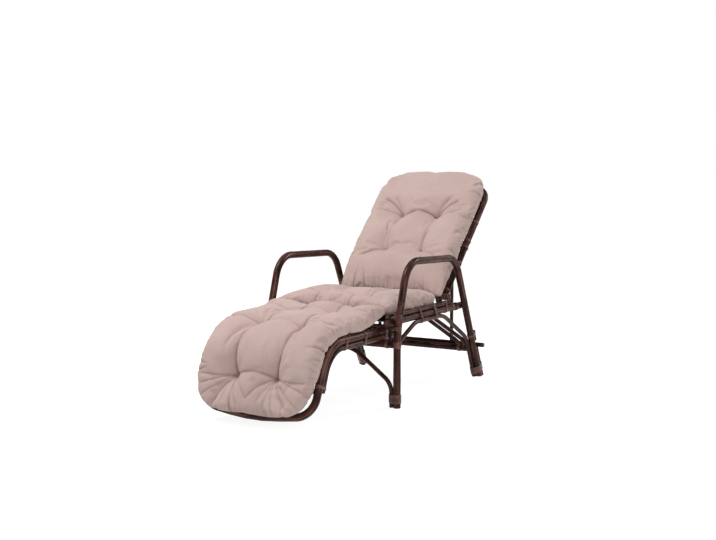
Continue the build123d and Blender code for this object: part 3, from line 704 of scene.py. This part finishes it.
def winding(discs, centre, right, up, wide=0.016, thick=0.0020, strand=0.0052, inner=-0.0004):
    """Cane peel wound round poles: at a share f of a turn plus the distance across the band, the
    strand's height is thick (0.42 + 0.58 sqrt(1 - |2 f - 1|^5)), and it falls to nothing at both edges.
    The inner side lies at a small offset from the poles, so the band is a closed ring."""
    axis = np.cross(right, up)
    spots, normal, girth = hull(discs, 56)
    turns = max(2, round(wide / strand))
    t = np.linspace(0, 1, turns * 6 + 1)
    around = np.arange(len(spots)) / len(spots)
    frac = (t[:, None] * turns + around[None]) % 1
    ridge = 0.42 + 0.58 * np.sqrt(np.clip(1 - np.abs(2 * frac - 1) ** 5, 0, 1))
    edge = np.clip(np.minimum(t, 1 - t) * turns / 0.30, 0, 1) ** 0.5
    lift = thick * ridge * (0.25 + 0.75 * edge)[:, None]
    rows = np.concatenate([lift, np.full((2, len(spots)), inner)])
    place = np.concatenate([t - 0.5, [0.5, -0.5]]) * wide
    flat = spots[None] + normal[None] * rows[..., None]
    skin = flat @ np.stack([right, up]) + place[:, None, None] * axis + centre
    across = np.linspace(0, girth * 12, len(spots) + 1)
    along = np.concatenate([t * wide, [wide, 0, 0]])
    return skin.reshape(-1, 3), grid_faces(len(skin), len(spots), True), grid_map(across, along)


def windings(name, body, replaces, bands, more=()):
    """One piece of windings, each given on the left as winding() takes it, and their mirror images."""
    parts = list(more)
    for side in (-1, 1):
        for discs, centre, right, *rest in bands:
            placed = [(side * x, y, r) for x, y, r in discs] if right is ACROSS else discs
            parts.append(winding(placed, (side * centre[0], *centre[1:]), right, *rest))
    piece = show(name, *joined(parts), peel_finish, body, "binding")
    if replaces:
        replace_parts(piece, *replaces)


foot_wide = 0.036
band_low = 0.018
stand_z = band_low + foot_wide * leg_slant / 2
slant_out = np.cross(np.array([0, -leg_slope, 1]) / leg_slant, ACROSS)
front = [(arm_x, front_leg_y, pole_r), (arch_x, front_leg_y + arch_tie, brace_r), (foot_x, front_leg_y, brace_r)]
rear = [(arm_x, 0, pole_r), (arch_x, -arch_tie, brace_r), (arm_x, pole_r + heel_r + tie, heel_r)]
rails = [(rail_x, seat_rail_z, pole_r), (rail_x, cap_z, cap_r)]
arched = rails + [(arch_x, arch_top_z, brace_r)]
bands = [
    (front, (0, 0, band_low + foot_wide / 2), ACROSS, AHEAD, foot_wide, 0.0022),
    (rear, (0, rear_leg_y(stand_z), stand_z), ACROSS, slant_out, foot_wide, 0.0022),
    (rails, (0, -0.028, 0), ACROSS, UP, 0.015),
    (rails, (0, 0.396, 0), ACROSS, UP, 0.015),
    (arched, (0, 0.150, 0), ACROSS, UP, 0.014),
    (arched, (0, 0.282, 0), ACROSS, UP, 0.020),
]
windings("frame_windings", "frame", ["frame_bands"], bands)

doubled = [(footrest_x, 0, pole_r), (footrest_x, -doubler_drop, doubler_r)]
half_step, half_calf_step = (knee_far - rest_far) / 18, (calf_far - knee_far) / 14
rear_far, middle_far = footrest_rear_y - 0.012, (rest_far + knee_far) / 2
bands = []
for far in (rear_far, rest_far, middle_far, knee_far - half_step, calf_far - half_calf_step):
    y, z, turn = on_footrest(far, 0)
    bands.append((doubled, (0, y, z), ACROSS, np.array([0, -sin(turn), cos(turn)]), 0.012, 0.0016))
windings("footrest_windings", "footrest", ["footrest_bands"], bands)


def on_back_pole(along, wide, thick):
    """A band round the back's side pole."""
    return [(back_x, 0, pole_r)], on_back(0, along, 0), ACROSS, OUT_OF_BACK, wide, thick


bands = [on_back_pole(along, 0.012, 0.0016) for along in (0.035, 0.192, 0.437)]
windings("back_windings", "backrest", ["back_bands"], bands)

# Sleeves turn on their bars with sleeve_room
bar = [(0, 0, bar_r)]
sleeve_room = 0.00012
back_hinge = back_x, hinge_y, hinge_z
saddle = 0.2838, hinge_y, hinge_z
band = bar, back_hinge, AHEAD, UP, 0.026, 0.0048, 0.0048, sleeve_room
windings("back_hinge_windings", "backrest", ["back_sleeves"], [band])
windings("hinge_saddle_windings", "frame", ["hinge_saddles"], [(bar, saddle, AHEAD, UP, 0.012, 0.0048, 0.0042)])
band = bar, (stay_x, *stay_hinge[1:]), AHEAD, UP, 0.022, 0.0038, 0.0044, sleeve_room
windings("stay_hinge_windings", "back_stay", ["stay_sleeves"], [band])


def lashing(centre, u, v, w, front_r, rear_r, apart, turns=4, strand=0.0042, thick=0.0009):
    """Cane peel lashed over a crossing: the front pole runs along v, the rear one along u, and w
    points from the rear one to the front one.

    Each closed strand goes over the front pole at v = +-V, u = R cos a, w = c + R sin a, and behind
    the rear pole at u = +-U, v = r cos a, w = -c - r sin a, with a straight run at each corner.
    """
    t = np.linspace(0, 1, 17)
    front_r, rear_r = front_r + thick * 0.8, rear_r + thick * 0.8
    loops = []
    for i in range(turns):
        level_u, level_v = (np.full(17, r + (i + 0.4) * strand) for r in (front_r, rear_r))
        over_u, over_w = -front_r * np.cos(pi * t), apart / 2 + front_r * np.sin(pi * t)
        behind_v, behind_w = rear_r * np.cos(pi * t), -apart / 2 - rear_r * np.sin(pi * t)
        half = [(over_u, level_v, over_w), (level_u, behind_v, behind_w)]
        half_out = [(over_u, 0 * t, over_w - apart / 2), (0 * t, behind_v, behind_w + apart / 2)]
        spots, outs = (np.concatenate([np.stack(part, 1) for part in parts]) for parts in (half, half_out))
        spots, outs = (np.concatenate([a, a * [-1, -1, 1]]) for a in (spots, outs))
        for _ in range(3):
            spots, outs = ((np.roll(a, 1, 0) + 2 * a + np.roll(a, -1, 0)) / 4 for a in (spots, outs))
        tangent = unit(np.roll(spots, -1, 0) - np.roll(spots, 1, 0))
        outs = unit(outs - tangent * (outs * tangent).sum(1)[:, None])
        flat = np.cross(tangent, outs)
        angle = np.arange(8) / 8 * 2 * pi
        ring = flat[:, None] * (np.cos(angle) * strand * 0.47)[None, :, None]
        ring = ring + outs[:, None] * (np.sin(angle) * thick)[None, :, None]
        skin = spots[:, None] + ring
        world = skin @ np.stack([u, v, w]) + centre
        s = np.arange(len(spots) + 1) * 0.002
        faces, uv = grid_faces(len(spots), 8, True), grid_map(np.linspace(0, 0.6, 9), s)
        if np.cross(u, v) @ w > 0:
            faces, uv = faces[:, ::-1], uv.reshape(-1, 4, 2)[:, ::-1].reshape(-1, 2)
        loops.append((world.reshape(-1, 3), faces, uv))
    return loops


crossings = []
for side in (-1, 1):
    beside = side * (arm_x - pole_r), front_leg_y + 0.006, seat_rail_z
    crossings += lashing(beside, AHEAD, UP, side * ACROSS, pole_r, pole_r, 2 * pole_r)
stub_z = 0.198
rail = [(rail_x, seat_rail_z, pole_r)]
stretcher = [(front_leg_y, stretcher_z, pole_r)]
behind_seat = [(rear_bar_y, seat_rail_z, rear_bar_r), (rear_bar_y, rear_top_z, brace_r)]
stub = [(arm_x, 0, pole_r), (arm_x, pole_r + heel_r + tie, heel_r)]
bands = [
    ([(arm_x, front_leg_y, pole_r)], (0, 0, stretcher_z), ACROSS, AHEAD, 0.026),
    (stretcher, (0.262, 0, 0), AHEAD, UP, 0.012),
    ([(rear_stretcher_y, rear_stretcher_z, pole_r)], (0.240, 0, 0), AHEAD, UP, 0.014),
    (rail, (0, rear_bar_y - 0.024, 0), ACROSS, UP, 0.022, 0.0024),
    (rail, (0, rear_bar_y + 0.021, 0), ACROSS, UP, 0.014, 0.0024),
    (stretcher + [(front_leg_y, front_top_z, brace_r)], (0.052, 0, 0), AHEAD, UP, 0.014),
    (behind_seat, (0.060, 0, 0), AHEAD, UP, 0.014),
    (stub, (0, rear_leg_y(stub_z), stub_z), ACROSS, slant_out, 0.014),
    (bar + [(0.003, -0.017, 0.009)], (0.2360, hinge_y, hinge_z), AHEAD, UP, 0.022, 0.0042, 0.0044),
]
windings("frame_lashings", "frame", [], bands, crossings)
bands = [on_back_pole(stay_along + apart, 0.013, 0.0018) for apart in (-0.019, 0.019)]
bands.append(([(stay_hinge[1], stay_hinge[2], bar_r)], (back_x - 0.024, 0, 0), AHEAD, UP, 0.014))
windings("stay_bar_lashings", "backrest", [], bands)


# Pads
pad_half = 0.264
TUFT = 0.086
MOST_BLOWN = 0.024
MET_END = (0.020, 0.010, 2.0)


def smooth(x):
    """The smooth step 3x^2 - 2x^3 of a share kept within 0 and 1."""
    x = np.clip(x, 0, 1)
    return x * x * (3 - 2 * x)


def corner_inset(s, length, first, last):
    """How far a pad's side draws in at its ends: w (1 - (1 - u^n)^(1/n)), where u goes from 0 to 1
    over the last stretch c before an end. Each end is given as (c, w, n)."""
    inset = np.zeros_like(s)
    for far, (reach, wide, power) in ((s, first), (length - s, last)):
        u = np.clip(1 - far / reach, 0, 1)
        inset = np.maximum(inset, wide * (1 - (1 - u ** power) ** (1 / power)))
    return inset


def pillow(length, half, thick, crown, waist, first, last, columns=72, rows=110):
    """A closed flat pad in its own space (across, along, out).

    On a grid p, q from -1 to 1 the plan is (w p, s), with w the half width at s. The upper side is
    m + t/2 e + crown (1 - p^2)(1 - q^8), the under side m - t/2 e, with e = (1 - |p|^11)^(1/2.3)
    (1 - |q|^30)^(1/2.3), so that both meet in the seam at mid height m.
    """
    p = np.sin(np.linspace(-pi / 2, pi / 2, columns + 1))
    q = np.linspace(-1, 1, rows + 1)
    q = np.sign(q) * (1 - (1 - np.abs(q)) ** 1.6)
    s = (q + 1) / 2 * length
    u = s / length
    wide = half - waist * 4 * u * (1 - u) - corner_inset(s, length, first, last)
    across = wide[:, None] * p[None]
    along = np.broadcast_to(s[:, None], across.shape)
    rise = (1 - np.abs(p) ** 11) ** (1 / 2.3) * ((1 - np.abs(q) ** 30) ** (1 / 2.3))[:, None]
    dome = crown * (1 - p ** 2) * (1 - np.abs(q) ** 8)[:, None]
    middle = thick * 0.46
    top = middle + thick * 0.54 * rise + dome
    low = middle * (1 - rise)
    up = np.stack([across, along, top], -1)
    down = np.stack([across, along, low], -1)[1:-1, 1:-1]
    r, c = up.shape[:2]
    number = np.arange(r * c).reshape(r, c)
    under = number.copy()
    under[1:-1, 1:-1] = r * c + np.arange((r - 2) * (c - 2)).reshape(r - 2, c - 2)
    faces = np.vstack([quads(number), quads(under)[:, ::-1]])
    return np.vstack([up.reshape(-1, 3), down.reshape(-1, 3)]), faces


def tufted(rows, pulls):
    """Tufts as (across, along, pull), two in each row."""
    return [(x, s, pull) for s, pull in zip(rows, pulls) for x in (-TUFT, TUFT)]


def away(points, x, s):
    """How far points are from a spot on a pad."""
    return np.hypot(points[:, 0] - x, points[:, 1] - s)


def pinch(points, tufts, depth, reach):
    """How far tufts draw the upper side in: the most of pull x depth exp(-(d / reach)^1.15)."""
    return np.maximum.reduce([p * depth * np.exp(-(away(points, x, s) / reach) ** 1.15) for x, s, p in tufts])


class Relief:
    """Creases and pleats on a pad's upper side: how far each point drops, and how much painted shade it gets in a
    fold.
    """

    def __init__(self, points):
        self.points = points
        self.drop = np.zeros(len(points))
        self.painted_shade = np.zeros(len(points))

    def crease(self, start, end, bow, depth, reach, dark=1.0, fade=0.12):
        """A crease between two spots that bows sideways by up to bow.

        At a distance d from it the drop is depth (0.32 exp(-(d / 3r)^2) + 0.28 exp(-(d / 1.1r)^1.4) +
        0.40 exp(-d / 0.35r)), a little less midway along it, and it runs out past both ends.
        """
        start, end = np.array(start), np.array(end)
        run = end - start
        length = np.linalg.norm(run)
        run = run / length
        rel = self.points[:, :2] - start
        t = (rel @ run) / length
        u = np.clip(t, 0, 1)
        d = np.abs(rel @ np.array([-run[1], run[0]]) - bow * 4 * u * (1 - u))
        ends = smooth((t + fade) / (2 * fade)) * smooth((1 + fade - t) / (2 * fade))
        shape = (0.70 + 0.30 * (2 * u - 1) ** 2) * ends
        slope = 0.32 * np.exp(-(d / (3 * reach)) ** 2) + 0.28 * np.exp(-(d / (1.1 * reach)) ** 1.4)
        self.drop += depth * shape * (slope + 0.40 * np.exp(-d / (0.35 * reach)))
        # Painted shade along the crease line, dark times its strength.
        self.painted_shade = np.maximum(self.painted_shade, dark * shape * np.exp(-(d / 0.0042) ** 1.5))

    def fan(self, spot, toward, spread, count, near, far, depth, seed):
        """Pleats that leave a spot like a fan, from near to far away from it."""
        rng = np.random.default_rng(seed)
        for turn in np.linspace(-spread, spread, count) + rng.uniform(-0.04, 0.04, count):
            way = np.array([sin(toward + turn), cos(toward + turn)])
            start = np.array(spot) + way * near
            end = np.array(spot) + way * far * rng.uniform(0.75, 1.1)
            self.crease(start, end, rng.uniform(-0.006, 0.006), depth * rng.uniform(0.6, 1.2), 0.0055, 0.45, 0.2)

    def gathers(self, length, seed, side=1.0, first=1.0, last=1.0):
        """Short folds that run in from the pad's seam, of uneven size and spacing, each with painted shade along it.
        """
        rng = np.random.default_rng(seed)
        x, s = self.points[:, 0], self.points[:, 1]
        runs = [(s, pad_half - x, side, length), (s, pad_half + x, side, length)]
        runs += [(x + pad_half, gap, share, 2 * pad_half) for gap, share in ((s, first), (length - s, last))]
        for run, gap, share, total in runs:
            even = np.arange(0.02, total - 0.01, 0.019)
            for spot in even + rng.uniform(-0.006, 0.006, len(even)):
                deep = share * rng.choice([0.25, 0.5, 0.8, 1.5], p=[0.3, 0.35, 0.25, 0.1])
                lean = rng.uniform(-0.35, 0.35)
                d = np.abs(run - spot - lean * gap)
                worn = smooth(1 - gap / (0.030 + 0.034 * deep))
                self.drop += 0.0048 * deep * worn * np.exp(-(d / 0.0052) ** 1.3)
                # Painted shade along each gather.
                self.painted_shade = np.maximum(self.painted_shade, 0.55 * deep * worn * np.exp(-(d / 0.0035) ** 2))

    def buttons(self, tufts):
        """The tufts themselves: a small deep dimple over each stitch, with painted shade in it."""
        for x, s, pull in tufts:
            d = away(self.points, x, s)
            self.drop += 0.011 * pull * np.exp(-(d / 0.011) ** 1.3)
            # Painted shade in the dimple.
            self.painted_shade = np.maximum(self.painted_shade, np.exp(-(d / 0.0065) ** 2))


def stuffed(points, faces, pinned):
    """The pad's cover blown up by its filling: a cloth simulation with the tufts held."""
    mesh = bpy.data.meshes.new("cover")
    mesh.from_pydata([tuple(p) for p in points], [], [tuple(f) for f in faces])
    cover = put("cover", mesh)
    remesh = cover.modifiers.new("Remesh", "REMESH")
    remesh.mode, remesh.voxel_size = "VOXEL", 0.0062
    cover = applied(cover)
    rest = coordinates(cover.data)
    weight = pinned(rest)
    held = cover.vertex_groups.new(name="held")
    for share in (0.35, 0.7, 1.0):
        chosen = np.nonzero((weight > share - 0.35) & (weight <= share))[0]
        held.add([int(i) for i in chosen], share, "REPLACE")
    cloth = cover.modifiers.new("Cloth", "CLOTH")
    s = cloth.settings
    s.quality, s.mass = 5, 0.25
    s.tension_stiffness = s.compression_stiffness = 15
    s.shear_stiffness, s.bending_stiffness = 5, 1.2
    s.use_pressure, s.uniform_pressure_force = True, 5.0
    s.shrink_min = -0.03
    s.vertex_group_mass = "held"
    s.effector_weights.gravity = 0
    cloth.point_cache.frame_start, cloth.point_cache.frame_end = 1, 22
    scene = bpy.context.scene
    for step in range(1, 19):
        scene.frame_set(step)
    blown = cover.evaluated_get(bpy.context.evaluated_depsgraph_get()).data
    moved = coordinates(blown) - rest
    far = np.linalg.norm(moved, axis=1)
    moved *= (np.minimum(far, MOST_BLOWN) / np.maximum(far, 1e-9))[:, None]
    cover.modifiers.remove(cover.modifiers["Cloth"])
    scene.frame_set(1)
    cover.data.vertices.foreach_set("co", (rest + moved).astype(np.float32).ravel())
    fine = cover.modifiers.new("Subdivision", "SUBSURF")
    fine.levels = fine.render_levels = 1
    cover = applied(cover)
    made = coordinates(cover.data), quads_of(cover.data)
    bpy.data.objects.remove(cover)
    return made


def applied(thing):
    """The object with its modifiers made part of its mesh."""
    made = bpy.data.meshes.new_from_object(thing.evaluated_get(bpy.context.evaluated_depsgraph_get()))
    thing.modifiers.clear()
    thing.data = made
    return thing


def coordinates(mesh):
    """A mesh's points as rows."""
    co = np.zeros(len(mesh.vertices) * 3, np.float32)
    mesh.vertices.foreach_get("co", co)
    return co.reshape(-1, 3).astype(float)


def quads_of(mesh):
    """Faces as index rows of four; a voxel remesh and a subdivision make nothing else."""
    index = np.zeros(len(mesh.loops), np.int32)
    mesh.loops.foreach_get("vertex_index", index)
    return index.reshape(-1, 4)


def seat_lay(points):
    """Seat pad's own space to the lounger's: along runs from its front edge."""
    return np.stack([points[:, 0], -0.092 + points[:, 1], slat_z + 0.0066 + points[:, 2]], 1)


def back_lay(points):
    """Back pad's own space to the lounger's: along runs up from its lower end."""
    x, s, out = points.T[:, :, None]
    low_end = smooth(1 - s / 0.09)
    tail = 0.022 * np.clip(1 - out / 0.06, 0, 1) * low_end + 0.010 * low_end * smooth((np.abs(x) - 0.13) / 0.10)
    aside = 0.014 * smooth(1 - s / 0.280)
    return on_back(x + aside, 0.001 + s - tail, out + pole_r + 0.0006)


foot_pad_rear = 0.120
foot_out = pole_r + 0.0023
foot_flat = footrest_flat - foot_pad_rear
foot_bend = footrest_bend * (knee_radius + foot_out) / knee_radius


def foot_lay(points):
    """Foot pad's own space to the lounger's: down from the seat pad, round the knee and down the calf."""
    s = points[:, 1]
    bend = np.clip(s - foot_flat, 0, foot_bend)
    spare = bend * foot_out / (knee_radius + foot_out)
    y, z, turn = on_footrest(foot_pad_rear + s - spare, foot_out + points[:, 2])
    lift = 0.040 * smooth(1 - s / 0.170)
    aside = -0.009 * smooth((s - foot_length + 0.260) / 0.200)
    return np.stack([points[:, 0] + aside, y, z + lift], 1)


calf_end = np.hypot(calf_y(0.030) - calf_y(footrest_z), footrest_z - 0.030)
foot_length = foot_flat + foot_bend + calf_end - knee_radius * tan(calf_turn / 2) - 0.004


def pad(name, length, thick, crown, first, last, tufts, shape, lay, body, replaces, thinned=0.0):
    """A tufted pad: pillow, filling, tufts and creases, then laid on what carries it."""
    points, faces = pillow(length, pad_half - 0.010, thick - 0.012, crown, 0.006, first, last)
    seam = thick * 0.42

    def upper(p):
        return smooth((p[:, 2] - seam) / (thick * 0.3))

    def held(p):
        near = np.minimum.reduce([away(p, x, s) for x, s, pull in tufts])
        stitched = np.where((near < 0.010) & (p[:, 2] > thick * 0.2), 1.0, 0.0)
        inside = smooth((pad_half - 0.035 - np.abs(p[:, 0])) / 0.03)
        return np.maximum(stitched, smooth((thick * 0.16 - p[:, 2]) / (thick * 0.10)) * inside)

    points[:, 2] += 0.006
    points[:, 2] -= pinch(points, tufts, thick * 0.50, 0.034) * upper(points)
    points, faces = stuffed(points, faces, held)
    points[:, 0] *= (pad_half - 0.001) / np.percentile(np.abs(points[:, 0]), 99.7)
    low, high = np.percentile(points[:, 1], (0.1, 99.9))
    points[:, 1] = 0.001 + (points[:, 1] - low) * (length - 0.002) / (high - low)
    aside = np.abs(points[:, 0])
    low_side = smooth(1.15 - points[:, 2] / (0.62 * thick))
    points[:, 2] *= 1 - 0.88 * smooth((aside - 0.185) / 0.045) * low_side
    room = pad_half - 0.002 - corner_inset(points[:, 1], length, first, last) - aside
    points[:, 0] += np.sign(points[:, 0]) * 0.8 * smooth((aside - 0.215) / 0.03) * low_side * room
    top_side = upper(points)
    points[:, 2] *= 1 - thinned * (1 - points[:, 1] / 0.120).clip(0, 1) ** 2
    relief = Relief(points)
    shape(relief)
    relief.buttons(tufts)
    points[:, 2] = np.maximum(points[:, 2] - relief.drop * top_side, 0.0002)
    points[:, 0] = np.clip(points[:, 0], -pad_half - 0.004, pad_half + 0.004)
    if lay is foot_lay:
        faces = faces[:, ::-1]
    flat = points[faces][..., :2]
    piece = show(name, lay(points), faces, flat, cloth_finish, body, "cushion", "cloth", weld=False)
    # The second layer holds the painted shade of creases, gathers and dimples, on the upper side only.
    layers = {"from_seam": from_seam(points, length, seam), "painted_shade": np.clip(relief.painted_shade, 0, 1) * top_side}
    for layer, values in layers.items():
        made = piece.data.attributes.new(layer, "FLOAT", "POINT")
        made.data.foreach_set("value", values.astype(np.float32))
    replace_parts(piece, *replaces)
    return piece, stitches(name + "_stitches", points, tufts, lay, body)


def from_seam(points, length, seam):
    """How far a point on a pad's side is from its seam at mid height, and 1 away from the sides."""
    gap = np.minimum(pad_half - np.abs(points[:, 0]), np.minimum(points[:, 1], length - points[:, 1]))
    return np.where(gap < 0.05, points[:, 2] - seam, 1.0)


def stitches(name, points, tufts, lay, body):
    """Two short twists of thread across the bottom of each tuft."""
    parts = []
    t = np.linspace(-1, 1, 9)
    for x, s, pull in tufts:
        near = (away(points, x, s) < 0.007) & (points[:, 2] > 0.006)
        low = points[near, 2].min() if near.any() else 0.02
        for turn in (0.5, -0.5):
            along = 0.005 * t
            line = np.stack([x + along * cos(turn), s + along * sin(turn), low + 0.0012 - 0.0008 * t ** 2], 1)
            parts.append(tube(lay(line), 0.0009, 1, sides=8, knots=False))
    return show(name, *joined(parts), thread_finish, body, "cushion", "cloth")


seat_rows = (0.142, 0.354)
seat_length = 0.446


def seat_shape(r):
    r.gathers(seat_length, 3, first=0.6, last=0.8)
    low, high = seat_rows
    for sign in (-1, 1):
        x = sign * TUFT
        r.crease((x, low), (x, high), 0.008 * sign, 0.013, 0.011)
        r.crease((x, -0.03), (x, low), 0.006 * sign, 0.013, 0.011)
        r.crease((x, low), (sign * 0.245, low + 0.012), 0.010 * sign, 0.008, 0.009, 0.7)
        r.crease((x, high), (sign * 0.235, high - 0.018), -0.008, 0.005, 0.009, 0.5)
    for s in seat_rows:
        r.crease((-TUFT, s), (TUFT, s), 0.012, 0.008, 0.010, 0.6)


seat_pad, _ = pad(
    "seat_cushion", seat_length, 0.050, 0.013, MET_END, (0.042, 0.032, 2.2),
    tufted(seat_rows, (1.0, 1.0)), seat_shape, seat_lay, "frame", ["seat_pad"],
)

back_rows = (0.210, 0.427)
back_pad_length = 0.711


def back_shape(r):
    r.gathers(back_pad_length, 5, side=0.6, first=1.15, last=0.15)
    low, high = back_rows
    r.crease((-TUFT, high), (TUFT, high), 0.016, 0.019, 0.008, 1.3, 0.05)
    r.crease((-TUFT, low), (TUFT, low), 0.008, 0.004, 0.012, 0.2)
    for sign in (-1, 1):
        x = sign * TUFT
        r.crease((x, low), (x, high), -0.006 * sign, 0.006, 0.011, 0.5)
        r.crease((x, high), (x + sign * 0.100, high + 0.072), 0.010 * sign, 0.014, 0.008, 1.0)
        r.crease((x, high), (x + sign * 0.130, high + 0.022), 0.004 * sign, 0.010, 0.008, 0.8)
        r.crease((x, high), (x + sign * 0.050, high + 0.080), 0.006 * sign, 0.007, 0.008, 0.5)
        r.crease((x, high), (x + sign * 0.008, high - 0.070), 0.0, 0.006, 0.009, 0.3)
        r.crease((x, low), (x + sign * 0.100, low - 0.055), 0.008 * sign, 0.006, 0.008, 0.6)
        r.crease((x, low), (x + sign * 0.100, low + 0.015), 0.004 * sign, 0.004, 0.009, 0.3)


back_pad, _ = pad(
    "back_cushion", back_pad_length - 0.007, 0.050, 0.015, (0.200, 0.014, 1.0), (0.150, 0.250, 3.0),
    tufted(back_rows, (0.6, 1.0)), back_shape, back_lay, "backrest", ["back_pad"], thinned=0.42,
)

calf_start = foot_flat + foot_bend
foot_rows = (0.100, foot_flat + 0.12 * foot_bend, calf_start + 0.26 * (foot_length - calf_start))


def foot_shape(r):
    r.gathers(foot_length, 8, side=1.1, first=0.5, last=1.1)
    top, knee, calf = foot_rows
    for sign in (-1, 1):
        x = sign * TUFT
        r.crease((x, knee), (x, calf), -0.016 * sign, 0.021, 0.012, 1.0)
        r.crease((x, top), (x, knee), 0.012, 0.016, 0.011)
        r.crease((x, -0.03), (x, top), 0.006 * sign, 0.014, 0.010)
        r.crease((x, calf), (sign * 0.235, calf + 0.012), 0.008 * sign, 0.010, 0.010, 0.7)
        r.crease((x, knee), (sign * 0.245, knee + 0.006), 0.008 * sign, 0.009, 0.010, 0.7)
        r.crease((x, top), (sign * 0.250, top + 0.004), 0.006 * sign, 0.009, 0.010, 0.7)
        r.fan((x, calf), sign * 0.25, 1.0, 7, 0.010, 0.150, 0.0085, 11 + sign)
    r.crease((-TUFT, calf), (TUFT, calf), -0.012, 0.011, 0.010, 0.8)
    for s in (knee, top):
        r.crease((-TUFT, s), (TUFT, s), -0.006, 0.006, 0.012, 0.4)


foot_pad, foot_thread = pad(
    "foot_cushion", foot_length, 0.046, 0.014, MET_END, (0.300, 0.250, 4.0),
    tufted(foot_rows, (1.0, 1.0, 1.0)), foot_shape, foot_lay, "footrest", ["foot_pad"],
)
for soft in (foot_pad, foot_thread):
    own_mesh(soft)

# Floor, light and camera
ground = Finish("studio_floor", Base_Color=(0.80, 0.80, 0.80, 1), Roughness=0.9, Specular_IOR_Level=0.1)
path_kind = ground.node("ShaderNodeLightPath")
seen = ground.number(path_kind.outputs["Is Camera Ray"]).op("MAXIMUM", path_kind.outputs["Is Glossy Ray"])
seen = seen.op("MAXIMUM", path_kind.outputs["Is Transmission Ray"])
glow = ground.node("ShaderNodeEmission", {}, {0: (1, 1, 1, 1), 1: 1.74})
half_lit = ground.node("ShaderNodeMixShader", {}, {0: seen * 0.5, 1: ground.shader.outputs[0], 2: glow.outputs[0]})
ground.tree.links.new(half_lit.outputs[0], ground.tree.nodes["Material Output"].inputs[0])

floor_reach = 30.0
px, py = np.meshgrid(*[np.linspace(-floor_reach, floor_reach, 5)] * 2)
corner = np.stack([px, py - shift, np.full_like(px, -0.0005)], -1).reshape(-1, 3)
floor_faces = quads(np.arange(25).reshape(5, 5))
floor = show("floor", corner, floor_faces, corner[floor_faces][..., :2], ground.material, None, None)

world = bpy.data.worlds.new("studio")
bpy.context.scene.world = world
world.use_nodes = True
studio = Nodes(world.node_tree)
sky = studio.tree.nodes["Background"]
sky.inputs[0].default_value = (1.0, 0.985, 0.97, 1)
sky.inputs[1].default_value = 0.40
shown = studio.node("ShaderNodeBackground", {}, {0: (1, 1, 1, 1), 1: 1.0})
to_camera = studio.node("ShaderNodeLightPath").outputs["Is Camera Ray"]
choice = studio.node("ShaderNodeMixShader", {}, {0: to_camera, 1: sky.outputs[0], 2: shown.outputs[0]})
studio.tree.links.new(choice.outputs[0], studio.tree.nodes["World Output"].inputs[0])


def lamp(name, place, target, size, power):
    """A square soft lamp that faces a point."""
    light = bpy.data.lights.new(name, "AREA")
    light.energy, light.size = power, size
    made = put(name, light)
    made.location = place
    made.rotation_euler = (Vector(target) - Vector(place)).to_track_quat("-Z", "Y").to_euler()


lamp("key_lamp", (-1.3, -1.3, 3.4), (0, 0, 0.4), 1.5, 92)
lamp("side_lamp", (3.0, -2.2, 1.6), (0, 0, 0.4), 1.4, 24)
lamp("rim_lamp", (2.0, 2.8, 2.2), (0, 0.2, 0.5), 1.2, 40)

lens = bpy.data.cameras.new("photo_camera")
sensor, focal_points, photo_width = 36.0, 1100, 716
lens.sensor_width, lens.sensor_fit = sensor, "HORIZONTAL"
lens.lens = sensor * focal_points / photo_width
lens.clip_end = 100
camera = put("photo_camera", lens)
camera.location = (2.322, -3.832 + shift, 0.937)
camera.rotation_euler = (radians(90 - 5.27), 0, radians(30.35))
bpy.context.scene.camera = camera
bpy.context.scene.view_settings.view_transform = "Standard"
